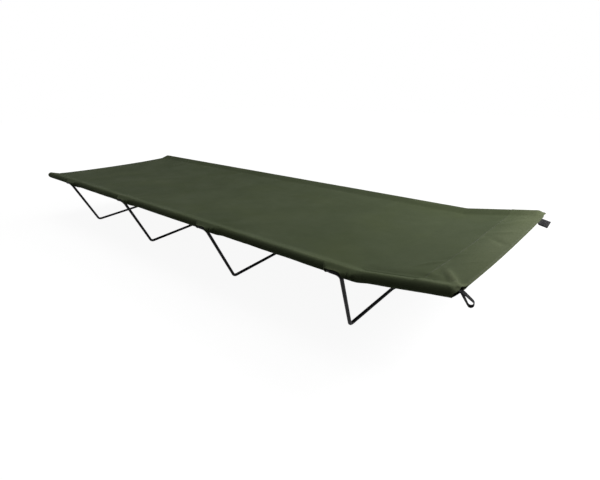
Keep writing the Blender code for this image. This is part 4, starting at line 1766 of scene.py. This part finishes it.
@dataclass
class Studio:
    """A pale floor, soft lamps, a white surround and the camera."""

    camera_place: Point = (1.17227, -0.99307, 0.58402)
    azimuth: float = -0.72289
    elevation: float = 0.35761
    roll: float = -0.0108
    focal_pixels: float = 420.99
    image_width: int = 600
    sensor: float = 36.0
    floor_size: float = 14.0
    floor_greys: Span = (0.16, 0.18)
    # Camera glow strengths near the cot and far from it, and the distances it climbs over: a
    # painted shade round the cot.
    floor_glow_and_painted_shade: Span = (0.93, 1.0)
    painted_floor_shade_reach: Span = (1.1, 2.2)
    surround_light: float = 0.13

    def build_camera(self) -> None:
        """Place the camera that the photograph was solved for."""
        sin_az, cos_az = math.sin(self.azimuth), math.cos(self.azimuth)
        sin_el, cos_el = math.sin(self.elevation), math.cos(self.elevation)
        forward = Vector((sin_az * cos_el, cos_az * cos_el, -sin_el))
        right = Vector((cos_az, -sin_az, 0.0))
        up = right.cross(forward)
        cos_roll, sin_roll = math.cos(self.roll), math.sin(self.roll)
        tilted_right = right * cos_roll + up * sin_roll
        tilted_up = up * cos_roll - right * sin_roll
        turn = Matrix((tilted_right, tilted_up, -forward)).transposed().to_4x4()
        data = bpy.data.cameras.new("photo_camera")
        data.sensor_width = self.sensor
        data.lens = self.focal_pixels * self.sensor / self.image_width
        data.clip_start = 0.01
        camera = bpy.data.objects.new("photo_camera", data)
        camera.matrix_world = Matrix.Translation(self.camera_place) @ turn
        bpy.context.scene.collection.objects.link(camera)
        bpy.context.scene.camera = camera

    def build_floor(self) -> None:
        """Lay a pale floor that shows white to the camera and keeps the shadow. Its camera glow is
        weaker near the cot, a painted shade round it.
        """
        half = self.floor_size / 2
        points = [(-half, -half, 0.0), (half, -half, 0.0), (half, half, 0.0), (-half, half, 0.0)]
        bench = NodeBench(bpy.data.materials.new("pale_floor"))
        place = bench.object_place()
        greys = [(grey,) * 3 for grey in self.floor_greys]
        matte = bench.add("ShaderNodeBsdfDiffuse")
        bench.feed(matte.inputs["Color"], bench.mix(bench.noise(place, 40.0, 3.0), *greys))
        away = bench.add("ShaderNodeVectorMath", operation="LENGTH")
        bench.feed(away.inputs[0], place)
        # The camera glow climbs with distance from the cot: painted shade near it.
        glow = bench.add("ShaderNodeEmission")
        bench.feed(glow.inputs["Strength"],
                   bench.spread(away.outputs["Value"], *self.painted_floor_shade_reach, *self.floor_glow_and_painted_shade))
        both = bench.add("ShaderNodeAddShader")
        bench.feed(both.inputs[0], matte.outputs[0])
        bench.feed(both.inputs[1], glow.outputs[0])
        bench.show_directly(both.outputs[0], matte.outputs[0])
        make_piece("studio_floor", points, [(0, 1, 2, 3)], bench.owner)

    def build_world(self) -> None:
        """Surround the cot with white that lights it only softly."""
        world = bpy.data.worlds.new("white_surround")
        bench = NodeBench(world, "ShaderNodeOutputWorld")
        shaders = []
        for strength in (1.0, self.surround_light):
            background = bench.add("ShaderNodeBackground")
            bench.feed(background.inputs["Color"], (1.0, 1.0, 1.0))
            bench.feed(background.inputs["Strength"], strength)
            shaders.append(background.outputs[0])
        bench.show_directly(*shaders)
        bpy.context.scene.world = world

    def build(self) -> None:
        """Set up the whole studio."""
        self.build_camera()
        for lamp in LAMPS:
            lamp.hang()
        self.build_floor()
        self.build_world()
        bpy.context.scene.view_settings.view_transform = "Standard"


def main() -> None:
    """Build the studio, then the cloth, the hems, the stitching, the loops and the steel."""
    logging.basicConfig(level=logging.INFO, format="%(message)s")
    Studio().build()
    cover_shape = ClothCover()
    cover = cover_shape.build(CoatedCloth())
    cloth = cover.data.materials[0]
    hems = (
        FoldedHem("head_hem_fold", "head_hem", SIZES.bed_head, HEAD_HEM_WIDTH, -1.0, cover_shape),
        FoldedHem("foot_hem_fold", "foot_hem", SIZES.bed_foot, FOOT_HEM_WIDTH, 1.0, cover_shape),
    )
    sewn = [hem.build(cloth) for hem in hems] + Stitching(cover_shape).build(SewingThread())
    for piece in sewn:
        LOG.info("%s: %d faces", piece.name, len(piece.data.polygons))
    # The near loop takes a darker copy of the same black tape, as painted shade; the far loop's
    # lighter default copy is painted light.
    dark = WovenTape((0.0035, 0.0035, 0.004), (0.014, 0.014, 0.016), 0.03)
    NearLoop("near_loop_tape", "near_loop").build(dark)
    FarLoop("far_loop_tape", "far_loop", width=0.022).build(WovenTape())
    SteelWork().dress()


if __name__ == "__main__":
    main()
